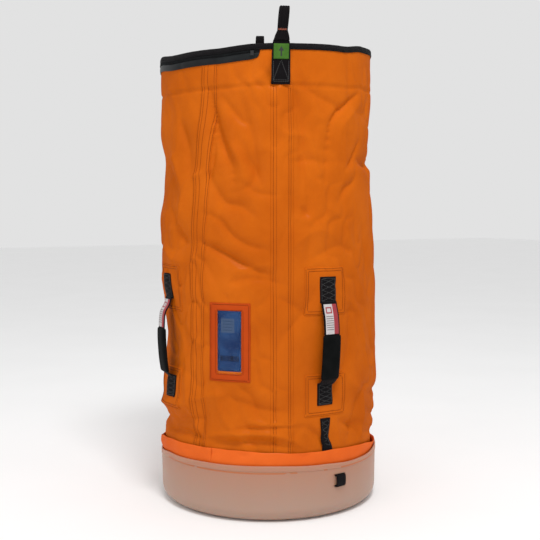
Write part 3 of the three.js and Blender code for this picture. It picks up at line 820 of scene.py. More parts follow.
def tag_material():
    """White tape with a red edge, a red diamond and rows of grey rules."""
    s = Shader("handle_tag", (0.62, 0.58, 0.58), 0.55)
    base = s.mixed(s.noise(70, 3), (0.46, 0.425, 0.425), (0.54, 0.505, 0.505))
    red = (0.30, 0.018, 0.026)
    base = s.over(s.patch((4.2 * MM, -1), (20 * MM, 1)), base, red)
    for row in range(7):
        low = (8 + 4 * row) * MM
        base = s.over(s.patch((-12 * MM, low), (3.5 * MM, low + 1.3 * MM)), base, (0.13, 0.10, 0.10))
    base = s.over(s.patch((-11 * MM, 38 * MM), (2 * MM, 50 * MM)), base, red)
    s.over(s.patch((-8.6 * MM, 40.4 * MM), (-0.4 * MM, 47.6 * MM)), base, (0.50, 0.47, 0.47))
    s.bump(s.weave(0.9 * MM, 0.9 * MM), 0.1 * MM, 0.5)
    return s.material


def card_material():
    """Blue card with a paler panel and a strip of dark bars."""
    s = Shader("blue_card", (0.03, 0.09, 0.26), 0.6, specular_ior_level=0.15)
    base = s.mixed(s.noise(26, 4), (0.003, 0.020, 0.085), (0.014, 0.050, 0.150), 0.4, 0.6)
    base = s.over(s.patch((-16 * MM, 14 * MM), (10 * MM, 40 * MM)), base, (0.044, 0.076, 0.145))
    for row in range(4):
        low = (18 + 5.5 * row) * MM
        base = s.over(s.patch((-13 * MM, low), (6 * MM, low + 1.6 * MM)), base, (0.022, 0.045, 0.10))
    rng = random.Random(7)
    left = -17.0
    while left < 17:
        bar = rng.uniform(0.6, 1.9)
        base = s.over(s.patch((left * MM, -38 * MM), ((left + bar) * MM, -28 * MM)), base, (0.003, 0.004, 0.012))
        left += bar + rng.uniform(0.6, 1.6)
    s.bump(s.noise(300, 2), 0.05 * MM, 0.3)
    return s.material


def window_material():
    """Clear flexible PVC, slightly hazy and creased."""
    s = Shader("clear_window", (0.85, 0.90, 0.93), 0.16, transmission_weight=0.9, ior=1.08, alpha=0.06)
    s.mixed(s.noise(40, 3), (0.80, 0.86, 0.90), (0.92, 0.95, 0.97))
    s.rough(s.noise(60, 3), 0.1, 0.28)
    s.bump(s.noise(28, 3), 1.0 * MM, 0.4)
    return s.material


FABRIC_ORANGE = coated_fabric("orange_fabric", (0.47, 0.090, 0.004), (0.57, 0.120, 0.006), 0.5, 0.06)
POCKET_ORANGE = coated_fabric("pocket_orange", (0.42, 0.048, 0.006), (0.48, 0.062, 0.008), 0.46, 0.06)
SKIRT_ORANGE = coated_fabric("skirt_orange", (0.66, 0.104, 0.013), (0.74, 0.130, 0.017), 0.36, 0.12)
WEBBING_BLACK = webbing_material("black_webbing", (0.003, 0.002, 0.003), (0.010, 0.007, 0.008))
BINDING_BLACK = webbing_material("black_binding", (0.005, 0.004, 0.005), (0.015, 0.013, 0.015), 1.6 * MM, 1.1 * MM)
TRAY_PLASTIC = tray_material()
GRIP_RUBBER = rubber_material()
ORANGE_THREAD = thread_material("orange_thread", (0.24, 0.038, 0.004))
GREY_THREAD = thread_material("grey_thread", (0.10, 0.10, 0.10))
BOARD = board_material()
GREEN_LABEL, _ = label_material()
TAG = tag_material()
CARD = card_material()
WINDOW = window_material()
ZIP_TAPE = webbing_material("zip_tape", (0.005, 0.005, 0.006), (0.016, 0.016, 0.017), 1.2 * MM, 0.9 * MM)
ZIP_COAT = plain_material("zip_flap", (0.006, 0.007, 0.008), (0.011, 0.013, 0.014), 0.4, specular_ior_level=0.14)
ZIP_METAL = plain_material("zip_metal", (0.012, 0.012, 0.013), (0.03, 0.03, 0.032), 0.42, metallic=0.6)
MARK_DARK = plain_material("dark_print", (0.006, 0.010, 0.008), (0.015, 0.02, 0.016), 0.6)
BAR_THREAD = thread_material("bar_thread", (0.36, 0.11, 0.07))

# ---------- camera, light and floor ----------


def studio():
    """Camera at the viewing side, white surroundings, one soft key and a soft fill."""
    scene = bpy.context.scene
    scene.view_settings.view_transform = "Standard"
    camera = bpy.data.objects.new("camera", bpy.data.cameras.new("camera"))
    scene.collection.objects.link(camera)
    camera.data.lens = CAMERA_LENS
    camera.data.sensor_width = 36
    camera.data.shift_x = CAMERA_ASIDE
    camera.data.shift_y = CAMERA_SHIFT
    camera.location = Vector(outward(VIEW_SIDE) * CAMERA_DISTANCE) + Vector((0, 0, CAMERA_HEIGHT))
    camera.rotation_euler = (math.radians(90), 0, math.radians(VIEW_SIDE))
    scene.camera = camera

    world = bpy.data.worlds.new("studio")
    world.use_nodes = True
    background = world.node_tree.nodes["Background"]
    background.inputs["Color"].default_value = (1, 1, 1, 1)
    background.inputs["Strength"].default_value = 0.76
    scene.world = world

    def area(name, angle, distance, height, size, power):
        data = bpy.data.lights.new(name, "AREA")
        data.size = size
        data.energy = power
        light = bpy.data.objects.new(name, data)
        scene.collection.objects.link(light)
        light.location = Vector(outward(VIEW_SIDE + angle) * distance) + Vector((0, 0, height))
        light.rotation_euler = (Vector((0, 0, 0.45)) - light.location).to_track_quat("-Z", "Y").to_euler()

    area("key", 12, 1.6, 2.9, 0.7, 46)
    area("fill", -40, 3.0, 1.2, 1.8, 8)

    mesh = bpy.data.meshes.new("floor")
    reach = 12
    mesh.from_pydata([(-reach, -reach, 0), (reach, -reach, 0), (reach, reach, 0), (-reach, reach, 0)], [], [(0, 1, 2, 3)])
    floor = bpy.data.objects.new("floor", mesh)
    scene.collection.objects.link(floor)
    paper = Shader("floor_paper", (0.93, 0.93, 0.93), 0.9)
    paper.mixed(paper.noise(3, 3), (0.925, 0.925, 0.925), (0.94, 0.94, 0.94))
    mesh.materials.append(paper.material)
    floor.location.z = -0.5 * MM


# ---------- tray ----------


def build_tray():
    """Turned tray with a rolled lip, a faint draft and rectangular strap slots."""
    corner = 24 * MM
    arc = [math.radians(a) for a in range(-90, 1, 9)]
    outer = [(r, 0.0) for r in np.linspace(0.01, TRAY_RADIUS - corner - 6 * MM, 8)]
    outer += [(TRAY_RADIUS - 2.2 * MM - corner + corner * math.cos(a), corner + corner * math.sin(a)) for a in arc]
    outer += [(TRAY_RADIUS - (2.2 - 1.2 * t) * MM, corner + t * (TRAY_TOP - 0.012 - corner)) for t in np.linspace(0.1, 1, 9)]
    lip = [(-1.0, -10.5), (-0.1, -9.6), (0.0, -8.5), (0.0, -2.0), (-0.5, -0.6), (-1.7, 0.0), (-2.9, -0.4), (-3.4, -1.6)]
    outer += [(TRAY_RADIUS + dx * MM, TRAY_TOP + dz * MM) for dx, dz in lip]
    inner = [(TRAY_RADIUS - (3.6 + 1.2 * t) * MM, TRAY_TOP - 4 * MM - t * (TRAY_TOP - 0.028)) for t in np.linspace(0, 1, 9)]
    inner += [
        (TRAY_RADIUS - 4.8 * MM - 19 * MM + 19 * MM * math.cos(a), 22 * MM + 19 * MM * math.sin(a))
        for a in reversed(arc)
    ]
    inner += [(r, 3 * MM) for r in np.linspace(TRAY_RADIUS - 0.03, 0.01, 8)]
    profile = np.array(outer + inner)
    steps = 216
    angle = np.arange(steps) * 360 / steps
    upper = np.clip((profile[None, :, 1] - 0.03) / 0.06, 0, 1)
    wobble = 0.5 * MM * np.sin(np.radians(angle) * 2 + 0.7) + 0.3 * MM * np.sin(np.radians(angle) * 5)
    dip = tray_sway(angle)[:, None] * np.clip((profile[None, :, 1] - 0.04) / 0.05, 0, 1)
    section = around(profile[None, :, 0] + wobble[:, None] * upper, angle[:, None], profile[None, :, 1] + dip)
    index = np.arange(section.shape[0] * section.shape[1]).reshape(section.shape[:2])
    faces = quads(index, wrap_rows=True).tolist()
    points = section.reshape(-1, 3).tolist()
    for row, height in ((0, 0.0), (section.shape[1] - 1, 3 * MM)):
        hub = len(points)
        points.append((0, 0, height))
        ring = index[:, row]
        faces += [(hub, int(a), int(b)) for a, b in zip(ring, np.roll(ring, -1))]
    mesh = mesh_from("tray", points, faces)
    tray = finish_mesh("tray", mesh, TRAY_PLASTIC, None)
    for strap in BASE_STRAPS:
        for height in STRAP_SLOTS:
            cut_slot(tray, strap + strap_lean(height), height)
    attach(tray, "root")
    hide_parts("base_tray")


def cut_slot(tray, angle, height):
    """Cuts one strap slot through the tray's side."""
    bpy.ops.mesh.primitive_cube_add(size=1)
    cutter = bpy.context.object
    cutter.scale = (25 * MM, 24 * MM, 4 * MM)
    cutter.location = Vector(outward(angle) * TRAY_RADIUS) + Vector((0, 0, height))
    cutter.rotation_euler.z = math.radians(angle)
    bpy.context.view_layer.update()
    cut = tray.modifiers.new("slot", "BOOLEAN")
    cut.object = cutter
    cut.operation = "DIFFERENCE"
    cut.solver = "EXACT"
    baked = bpy.data.meshes.new_from_object(tray.evaluated_get(bpy.context.evaluated_depsgraph_get()))
    tray.modifiers.clear()
    tray.data = baked
    bpy.data.objects.remove(cutter)


BASE_STRAPS = [0, 120, -142.5]
STRAP_TOP = top_of("base_strap_1")
STRAP_SLOTS = [0.0765, 0.0568]
STRAP_LEAN = 7.5


def strap_lean(height):
    """How far a strap has turned aside at a height: it does so behind the skirt."""
    return eased([(0.057, STRAP_LEAN), (0.086, STRAP_LEAN), (0.128, 1.3), (0.150, -0.4), (STRAP_TOP, -0.5)], height)


# ---------- wall, skirt, floor ----------


def build_wall():
    """The two wall panels, whose edges meet under the seam tapes."""
    for name, start, end, drifts in (
        ("wall_front", SEAM_LEFT, SEAM_RIGHT, (1, 0)),
        ("wall_back", SEAM_RIGHT, SEAM_LEFT + 360, (0, 1)),
    ):
        count = COLUMNS // 2
        share = np.linspace(0, 1, count + 1)[:, None]
        up = np.linspace(0, 1, ROWS + 1)[None]
        base = start + (end - start) * share
        height = WALL_LOW + up * (rim_height(base) - WALL_LOW)
        drift = eased(SEAM_DRIFT, height)
        fade = drifts[0] * np.clip(1 - share * 4, 0, 1) ** 2 + drifts[1] * np.clip(share * 4 - 3, 0, 1) ** 2
        angle = base + drift * fade
        height = WALL_LOW + up * (rim_height(angle) - WALL_LOW)
        radius = wall_radius(angle, height)
        outer = around(radius, angle, height)
        inner = around(radius - FABRIC, angle, height)
        uvs = np.stack([np.radians(angle) * WALL_RADIUS, height], axis=-1)
        panel = finish_mesh(name, shell(name, outer, inner, uvs), FABRIC_ORANGE, "root")
        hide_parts(name.replace("wall_", "wall_panel_"))


SEAM_LEFT = -68.5
SEAM_RIGHT = 111.5


def skirt_top(angle):
    """Height of the skirt's upper edge."""
    return eased(SKIRT_EDGE, np.asarray(angle, float) - VIEW_SIDE, 360)


def tray_sway(angle):
    """How far the tray's lip dips."""
    return eased(TRAY_SWAY, np.asarray(angle, float) - VIEW_SIDE, 360)


def build_skirt():
    """A short band of bright coated cloth that stands up out of the tray."""
    steps, rows = 240, 16
    lap = 5  # degrees by which it overlaps itself
    angle = (VIEW_SIDE - 35 + np.arange(steps + 1) * (360 + lap) / steps)[:, None]
    seen = (angle - VIEW_SIDE + 180) % 360 - 180
    share = np.linspace(0, 1, rows + 1)[None]
    low = TRAY_TOP - 20 * MM
    height = low + share * (skirt_top(angle) - low)
    lip = TRAY_TOP + tray_sway(angle)
    above = np.clip((height - lip) / 0.02, 0, 1.3)
    bulge = 4.5 * MM * np.exp(-(((seen + 88) / 26) ** 2)) + 3.5 * MM * np.exp(-(((seen - 86) / 20) ** 2))
    ripple = 1.3 * MM * wave_noise(angle + 0 * height, height, 11, (5, 24), (30, 120))
    radius = 0.2112 + 0 * height + bulge * np.sin(np.clip(above, 0, 1) * math.pi * 0.75)
    radius += above * (0.6 * MM + ripple - 2.6 * MM * above)
    radius = np.maximum(radius, wall_radius(angle, height) + 2.2 * MM)
    limit = np.where(height < lip + 1 * MM, 0.2108, 0.222)
    radius = np.minimum(radius, limit)
    spiral = np.linspace(0, 2.0 * MM, steps + 1)[:, None] * np.clip(above, 0, 1)
    radius = radius + spiral - 0.3 * MM
    outer = around(radius + 0.9 * MM, angle, height)
    inner = around(radius, angle, height)
    uvs = np.stack([np.radians(angle) * WALL_RADIUS + 0 * height, height], axis=-1)
    skirt = finish_mesh("skirt", shell("skirt", outer, inner, uvs), SKIRT_ORANGE, "root")
    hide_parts("base_skirt")


def build_floor():
    """The bag's fabric floor, and the board on it with a turned edge."""
    for name, node, radius, material, slot, thickness in (
        ("floor_cloth", "bag_floor", 0.2025, FABRIC_ORANGE, "orange_fabric", 1.0 * MM),
        ("floor_board_disc", "floor_stiffener", 0.2000, BOARD, "floor_board", 3.0 * MM),
    ):
        low = bottom_of(node)
        steps, rows = 120, 22
        angle = np.arange(steps)[:, None] * 360 / steps
        share = np.concatenate([np.linspace(0.02, 0.985, rows), [0.995, 1.0]])[None]
        sag = 0.35 * MM * wave_noise(angle + 0 * share, 0 * angle + share, 21, (1, 6), (3, 9))
        upper = around(radius * share, angle, low + thickness + sag * (1 - share))
        upper[:, -1, 2] -= thickness * 0.3
        lower = around(radius * share, angle, low + 0 * sag)
        section = np.concatenate([upper, lower[:, ::-1]], axis=1)
        index = np.arange(section.shape[0] * section.shape[1]).reshape(section.shape[:2])
        faces = quads(index, wrap_rows=True).tolist()
        faces.append(index[:, 0].tolist())
        faces.append(index[::-1, -1].tolist())
        flat = section[..., :2].reshape(-1, 2)
        piece = finish_mesh(name, mesh_from(name, section.reshape(-1, 3), faces, flat), material, "root")
        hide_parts(node)


# ---------- mouth ----------


def build_binding():
    """Tape folded over the rim, following its sway, with a row of stitches."""
    steps = 300
    angle = np.arange(steps)[:, None] * 360 / steps
    top = rim_height(angle) + 3.2 * MM
    sheet = 1.1 * MM
    leg = 12 * MM
    out = wall_radius(angle, rim_height(angle) - 2 * MM)
    # section: outside leg, over the edge, inside leg, and back along the tape's own inner face
    profile = [(sheet + 0.5 * MM, -leg), (sheet + 0.7 * MM, -leg * 0.5), (sheet + 0.4 * MM, -2 * MM),
               (0.2 * MM, -0.2 * MM), (-1.2 * MM, -0.1 * MM), (-2.6 * MM, -1.2 * MM),
               (-3.2 * MM, -3 * MM), (-3.4 * MM, -leg), (-2.2 * MM, -leg), (-2.2 * MM, -3.4 * MM),
               (-0.8 * MM, -1.9 * MM), (0.4 * MM, -3.2 * MM), (0.5 * MM, -leg)]
    ripple = 0.35 * MM * np.sin(np.radians(angle) * 61) * np.sin(np.radians(angle) * 7)
    section = np.concatenate([around(out + dx + ripple, angle, top + dz) for dx, dz in profile], axis=1)
    run = np.cumsum([0.0] + [math.dist(a, b) for a, b in zip(profile[:-1], profile[1:])])
    uvs = np.stack(np.broadcast_arrays(run[None], np.radians(angle) * WALL_RADIUS), axis=-1)
    binding = finish_mesh("rim_tape", closed_ring("rim_tape", section, uvs), BINDING_BLACK, "root")
    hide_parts("rim_binding")
    dense = np.linspace(0, 360, 900)
    row = rim_height(dense) + 3.2 * MM - leg + 2.2 * MM
    radius = wall_radius(dense, rim_height(dense) - 2 * MM) + sheet + 0.65 * MM
    points = around(radius, dense, row)
    normals = around(np.ones_like(dense), dense, 0 * dense)
    black_thread.sew(points, normals, 3.6 * MM, 2.7 * MM)


def build_facing():
    """The strip turned in behind the hem, seen from above inside the mouth."""
    steps, rows = 300, 18
    angle = np.linspace(0, 360, steps + 1)[:, None]
    share = np.linspace(0, 1, rows + 1)[None]
    low = hem_height(angle) - 3 * MM
    height = low + share * (rim_height(angle) - 4 * MM - low)
    radius = wall_radius(angle, height) - FABRIC - 0.5 * MM
    uvs = np.stack([np.radians(angle) * WALL_RADIUS + 0 * height, height], axis=-1)
    mesh = shell("hem_strip", around(radius, angle, height), around(radius - 0.8 * MM, angle, height), uvs)
    strip = finish_mesh("hem_strip", mesh, FABRIC_ORANGE, "root")
    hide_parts("hem_facing")
    dense = np.linspace(0, 360, 721)
    clear = 6.5  # degrees either side of a loop that its webbing covers
    bare = np.ones(len(dense), bool)
    for loop in LOOP_ANGLES.values():
        bare &= np.abs((dense - loop + 180) % 360 - 180) > clear
    for stretch in np.split(dense, np.where(~bare)[0]):
        if len(stretch) > 2:
            orange_thread.on_wall(list(zip(stretch[1:], hem_height(stretch[1:]))), 0.15 * MM)


ZIP_FROM, ZIP_TO = -192.0, -34.8
ZIP_WIDTH = 15 * MM


def build_zip():
    """Outer half: a coated flap over woven tape, with its coil along the upper edge."""
    rise = -9.5 * MM  # the zip's upper edge below the rim

    def band(name, start, end, upper, lower, lift, material, thickness, taper=6.0, inside=False):
        steps, rows = 260, 8
        angle = np.linspace(start, end, steps + 1)[:, None]
        share = np.linspace(0, 1, rows + 1)[None]
        ends = np.clip(np.minimum(angle - start, end - angle) / taper, 0.0, 1)
        width = (upper - lower) * (0.35 + 0.65 * np.sqrt(1 - (1 - ends) ** 2))
        top = rim_height(angle) + upper
        height = top - share * width
        swell = np.sin(share * math.pi) * 0.5 + 0.5
        sign = -1 if inside else 1
        skin = wall_radius(angle, np.minimum(height, rim_height(angle))) - (FABRIC + 1.6 * MM if inside else 0)
        outer = around(skin + sign * (lift + thickness * swell), angle, height)
        inner = around(skin + sign * (lift - 0.2 * MM), angle, height)
        uvs = np.stack([height - top, np.radians(angle) * WALL_RADIUS + 0 * height], axis=-1)
        return finish_mesh(name, shell(name, outer, inner, uvs), material, "root")

    tape = band("zip_tape_left", ZIP_FROM, ZIP_TO, rise + 2 * MM, rise - ZIP_WIDTH, 0.3 * MM, ZIP_TAPE, 0.8 * MM)
    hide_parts("zip_tape_outer")
    flap = band("zip_flap", ZIP_FROM + 0.4, ZIP_TO - 0.4, rise - 4.6 * MM, rise - ZIP_WIDTH - 1.5 * MM, 1.0 * MM,
                ZIP_COAT, 1.5 * MM)
    inner = band("zip_tape_right", -13, 144, rise + 2 * MM, rise - ZIP_WIDTH, 0.3 * MM, ZIP_TAPE,
                 0.8 * MM, inside=True)
    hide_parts("zip_tape_inner")
    coil("zip_coil_left", ZIP_FROM + 2, ZIP_TO - 2, rise - 1.6 * MM, 1.5 * MM)
    coil("zip_coil_right", -11, 142, rise - 1.6 * MM, -(FABRIC + 2.9 * MM))


def coil(name, start, end, drop, lift):
    """A zip's coil, one flattened helix of monofilament."""
    pitch = 2.0 * MM
    turns = int(math.radians(end - start) * WALL_RADIUS / pitch)
    count = turns * 6
    t = np.arange(count + 1) / count
    angle = start + (end - start) * t
    phase = t * turns * math.tau
    height = rim_height(angle) + drop + 1.7 * MM * np.sin(phase)
    radius = wall_radius(angle, rim_height(angle) - 8 * MM) + lift + 0.7 * MM * np.cos(phase)
    line = around(radius, angle, height)
    tangent = unit(np.gradient(line, axis=0))
    out = around(np.ones_like(angle), angle, 0 * angle)
    side = unit(np.cross(tangent, out))
    up = np.cross(side, tangent)
    r = 0.45 * MM
    section = np.stack([line + side * r, line + up * r, line - side * r, line - up * r], axis=1)
    index = np.arange(section.shape[0] * 4).reshape(-1, 4)
    faces = quads(index, wrap_columns=True).tolist()
    faces += [index[0].tolist(), index[-1, ::-1].tolist()]
    mesh = bpy.data.meshes.new(name)
    mesh.from_pydata(section.reshape(-1, 3).tolist(), [], faces)
    finish_mesh(name, mesh, ZIP_COAT, "root")


black_thread = Thread(0.35 * MM)

# ---------- seams and sling ----------


def build_seams():
    """Wide tapes over the two wall seams, each with rows of stitches."""
    for side, angle, drift in (("left", SEAM_LEFT, SEAM_DRIFT), ("right", SEAM_RIGHT, None)):
        low, high = TRAY_TOP - 0.02, HEM_LINE + 0.045
        tape = sewn_sheet(f"seam_tape_{side}_cloth", angle, low, high, TAPE_WIDTH, FABRIC_ORANGE,
                          lift=0.1 * MM, thickness=0.7 * MM, seams=(2.5 * MM, 7 * MM, 15 * MM), drift=drift)
        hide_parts(f"seam_tape_{side}")
        heights = np.linspace(low + 0.004, high - 0.004, 250)
        centre = angle + (eased(drift, heights) if drift else 0 * heights)
        for offset in (-15.5, -11, -3, 11, 15.5):
            line, normals = on_wall(centre + degrees_wide(offset * MM), heights, np.full(250, 0.5 * MM))
            orange_thread.sew(line, normals)


def build_sling():
    """Fabric covers over the lifting webbing, with their rows of stitches; the webbing's exposed, sewn-down top is made
    with the loops.
    """
    low = TRAY_TOP - 0.02
    for side, angle in LOOP_ANGLES.items():
        high = top_of(f"sling_cover_{side}")
        middle = angle + degrees_wide(3 * MM)
        cover = sewn_sheet(f"sling_cover_{side}_cloth", middle, low, high, 42 * MM, FABRIC_ORANGE,
                           lift=0.1 * MM, thickness=1.2 * MM, seams=(3.5 * MM, 7.5 * MM))
        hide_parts(f"sling_cover_{side}")
        for offset in (-16, -10.5, 12, 16):
            across = middle + degrees_wide(offset * MM)
            orange_thread.on_wall([(across, low + 0.004), (across, high - 0.004)], 1.0 * MM)


# ---------- lifting loops ----------

LOOP_SLANT = 7 * MM  # how far the front loop leans to one side at its top


def build_loops():
    for side, angle in LOOP_ANGLES.items():
        lifting_loop(side, angle, LOOP_SLANT if side == "front" else -3 * MM)


def lifting_loop(side, angle, slant):
    """Webbing sewn on the wall that narrows above the rim and doubles into an eye."""
    low = top_of(f"sling_cover_{side}")
    axis = JOINTS[f"loop_{side}_fold"]["pos_m"][2]
    top = top_of(f"loop_eye_{side}") + (0.024 if side == "back" else 0.0)
    out, across = outward(angle), sideways(angle)
    up = np.array([0.0, 0.0, 1.0])

    # sewn part, from the patch's lower edge up past the rim
    heights = np.concatenate([np.linspace(low, RIM_TOP - 0.012, 22), np.linspace(RIM_TOP - 0.009, axis - 1 * MM, 6)])
    radius = np.max([wall_radius(angle + aside, heights) for aside in (-4.8, -2.4, 0, 2.4, 4.8)], axis=0)
    stand = np.interp(heights, [low, RIM_TOP - 0.02, RIM_TOP - 0.008, axis], [1.6 * MM, 2.4 * MM, 3.4 * MM, 3.6 * MM])
    rim_face = LOOP_AXIS_RADIUS
    radius = np.where(heights > RIM_TOP - 0.03, radius * 0.3 + 0.7 * rim_face, radius + stand)
    lean = slant * np.clip((heights - low) / (top - low), 0, 1) * 0.3
    line = out * radius[:, None] + up * heights[:, None] + across * lean[:, None]
    normals = np.repeat(out[None], len(heights), axis=0)
    sides = np.repeat(across[None], len(heights), axis=0)
    width = np.interp(heights, [low, RIM_TOP - 0.02, RIM_TOP, axis], [SLING_WIDTH, SLING_WIDTH * 0.97, SLING_WIDTH * 0.9, SLING_WIDTH * 0.82])
    patch = ribbon(f"loop_{side}_patch", line, normals, sides, width, WEBBING, 16)
    patch = finish_mesh(f"loop_{side}_patch", patch, WEBBING_BLACK, "root")
    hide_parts("lifting_sling")

    # stitching on the patch: a tall triangle over a double bottom line
    def at(x, z):
        r = np.interp(z, heights, radius) + WEBBING / 2 + 0.2 * MM
        return out * r + across * (x + np.interp(z, heights, lean)) + up * z

    half = SLING_WIDTH / 2 - 3.5 * MM
    peak = low + 0.044
    for (x1, z1), (x2, z2) in (
        ((-half, low + 4 * MM), (half, low + 4 * MM)), ((-half, low + 7 * MM), (half, low + 7 * MM)),
        ((-half, low + 6 * MM), (0, peak)), ((0, peak), (half, low + 6 * MM)),
        ((-half, low + 4 * MM), (-half, peak)), ((half, low + 4 * MM), (half, peak)),
    ):
        share = np.linspace(0, 1, 20)
        points = np.array([at(x1 + (x2 - x1) * s, z1 + (z2 - z1) * s) for s in share])
        grey_thread.sew(points, np.repeat(out[None], 20, axis=0), 3.4 * MM, 2.7 * MM)

    loop_label(side, at, out, across, up, low)
    loop_eye(side, angle, axis, top, slant, out, across, up)


def loop_label(side, at, out, across, up, low):
    """Green label with a plain arrow that points to the loop."""
    half = 14 * MM
    base = low + 0.045
    n = 14
    x, z = np.meshgrid(np.linspace(-half, half, n + 1), np.linspace(0, 2 * half, n + 1), indexing="ij")
    outer = np.array([[at(a, base + b) + out * 0.9 * MM for a, b in zip(r, s)] for r, s in zip(x, z)])
    edge = np.minimum(half - np.abs(x), np.minimum(z, 2 * half - z))
    outer += out * (np.clip(edge / (2 * MM), 0, 1) * 0.35 * MM)[..., None]
    inner = outer - out * 1.2 * MM
    name = f"loop_{side}_label"
    mesh = shell(name, outer, inner, np.stack([x, z], axis=-1))
    label = finish_mesh(name, mesh, GREEN_LABEL, "root")
    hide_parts(f"loop_label_{side}")
    arrow = [(-1.3, 5), (1.3, 5), (1.3, 15), (5, 15), (0, 23), (-5, 15), (-1.3, 15)]
    front = [at(px * MM, base + pz * MM) + out * 1.45 * MM for px, pz in arrow]
    back = [p - out * 0.6 * MM for p in front]
    count = len(arrow)
    faces = [list(range(count)), list(range(2 * count - 1, count - 1, -1))]
    faces += [[i, (i + 1) % count, (i + 1) % count + count, i + count] for i in range(count)]
    name = f"loop_{side}_arrow"
    mark = finish_mesh(name, mesh_from(name, front + back, faces), MARK_DARK, "root")
    mark.data.polygons.foreach_set("use_smooth", [False] * len(mark.data.polygons))


def loop_eye(side, angle, axis, top, slant, out, across, up):
    """One webbing that goes up, over and back down, folded narrow where it is sewn together."""
    middle = out * LOOP_AXIS_RADIUS
    height = top - axis
    reach = 9.5 * MM
    # (outward offset, share of the height) of the webbing's middle, up the outside and down the inside
    route = [(2.0, -0.02), (2.2, 0.12), (2.4, 0.26), (6.0, 0.42), (9.0, 0.62), (8.8, 0.84), (5.0, 0.965),
             (0.0, 0.985), (-5.0, 0.965), (-8.8, 0.84), (-9.0, 0.62), (-6.0, 0.42), (-2.4, 0.26), (-2.2, 0.12), (-2.0, -0.02)]
    line2 = smooth_curve([(x * MM * reach / (9.5 * MM), s * height) for x, s in route], 90)
    tangent = unit(np.gradient(line2, axis=0))
    share = np.clip(line2[:, 1] / height, 0, 1)
    line = middle + out * line2[:, :1] + up * (axis + line2[:, 1:]) + across * (slant * (0.25 + 0.75 * share))[:, None]
    normal = out * tangent[:, 1:] - up * tangent[:, :1]
    sides = np.repeat(across[None], len(line), axis=0)
    width = np.interp(share, [0, 0.12, 0.28, 1.0], [SLING_WIDTH * 0.82, SLING_WIDTH * 0.72, 18.5 * MM, 18 * MM])
    puff = np.interp(share, [0, 0.14, 0.3, 1.0], [2.4 * MM, 5.0 * MM, 3.6 * MM, 3.4 * MM])
    mesh = ribbon(f"loop_{side}_webbing", line, normal, sides, width, puff, 40, (-0.45, 0.05, 0.5))
    eye = finish_mesh(f"loop_{side}_webbing", mesh, WEBBING_BLACK, None)
    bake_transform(eye)
    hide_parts(f"loop_eye_{side}")
    # the bar tack that closes the eye
    tack = Thread(0.5 * MM)
    for row in range(5):
        z = axis + height * 0.27 + row * 0.7 * MM
        shift = slant * 0.45
        for sign in (1, -1):
            centre = middle + out * sign * (2.4 * MM + 2.2 * MM) + up * z
            points = np.array([centre + across * (x + shift) for x in np.linspace(-8.6 * MM, 8.6 * MM, 12)])
            tack.sew(points, np.repeat(out[None] * sign, 12, axis=0), 1.9 * MM, 1.8 * MM)
    tack.build(f"loop_{side}_tack", BAR_THREAD, f"loop_{side}")


# ---------- handles ----------

# the free webbing's middle: radius, height
BOW = [(0.2235, 0.369), (0.2270, 0.342), (0.2288, 0.318), (0.2288, 0.290), (0.2270, 0.270), (0.2240, 0.2575)]


# how far the upper end stands to the right of the middle, and the lower end to the left
HANDLE_LEAN = {"front": 2.5 * MM, "left": -8.5 * MM, "back": -3 * MM, "right": 2 * MM}


def handle_aside(side, height):
    """How far a handle's webbing has slipped sideways at a height."""
    return HANDLE_LEAN[side] * np.sin(np.clip((np.asarray(height) - 0.3205) / 0.055, -1, 1) * math.pi / 2)


def build_handles():
    for side, angle in HANDLE_ANGLES.items():
        handle(side, angle)


def handle(side, angle):
    """Two reinforcement patches, two sewn webbing ends and a free webbing with grip and tag."""
    tabs = {}
    for place in ("upper", "lower"):
        node = f"handle_{side}_patch_{place}"
        low, high = bottom_of(node), top_of(node)
        patch = sewn_sheet(f"{node}_cloth", angle, low, high, 90 * MM, FABRIC_ORANGE,
                           lift=0.15 * MM, thickness=1.1 * MM, corner=5 * MM, seams=(3 * MM, 7.5 * MM))
        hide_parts(node)
        for inset in (3 * MM, 7.5 * MM):
            orange_thread.box(angle, low, high, 90 * MM, inset, 1.0 * MM)
        tabs[place] = place_tab(side, angle, place)
    out, across = outward(angle), sideways(angle)
    up = np.array([0.0, 0.0, 1.0])
    upper, lower = tabs["upper"], tabs["lower"]

    def place(piece):
        return out * piece[:, :1] + up * piece[:, 1:] + across * handle_aside(side, piece[:, 1:])

    sewn_face = 3.4 * MM
    start = (wall_radius(angle, upper[0]) + sewn_face, upper[0] + 3 * MM)
    lip = (wall_radius(angle, upper[0] - 0.01) + 8 * MM, upper[0] - 12 * MM)
    finish = (wall_radius(angle, lower[1]) + sewn_face, lower[1] - 3 * MM)
    line = smooth_curve([start, lip, *BOW, finish], 120)
    tangent = unit(np.gradient(line, axis=0))
    middle = int(np.argmin(np.abs(line[:, 1] - 0.30)))
    for part, rows in (("upper", slice(0, middle + 1)), ("lower", slice(middle, None))):
        piece = line[rows]
        t = tangent[rows]
        path = place(piece)
        normal = -(out * t[:, 1:] - up * t[:, :1])
        name = f"handle_{side}_webbing_{part}"
        mesh = ribbon(name, path, normal, np.repeat(across[None], len(piece), axis=0), HANDLE_WEBBING, WEBBING, 12)
        strap = finish_mesh(name, mesh, WEBBING_BLACK, None)
        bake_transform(strap)
        if part == "upper":
            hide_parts(f"handle_{side}_strap")
    handle_grip(side, line, tangent, out, across, up, place)
    handle_tag(side, line, tangent, out, across, up, place, upper[0])


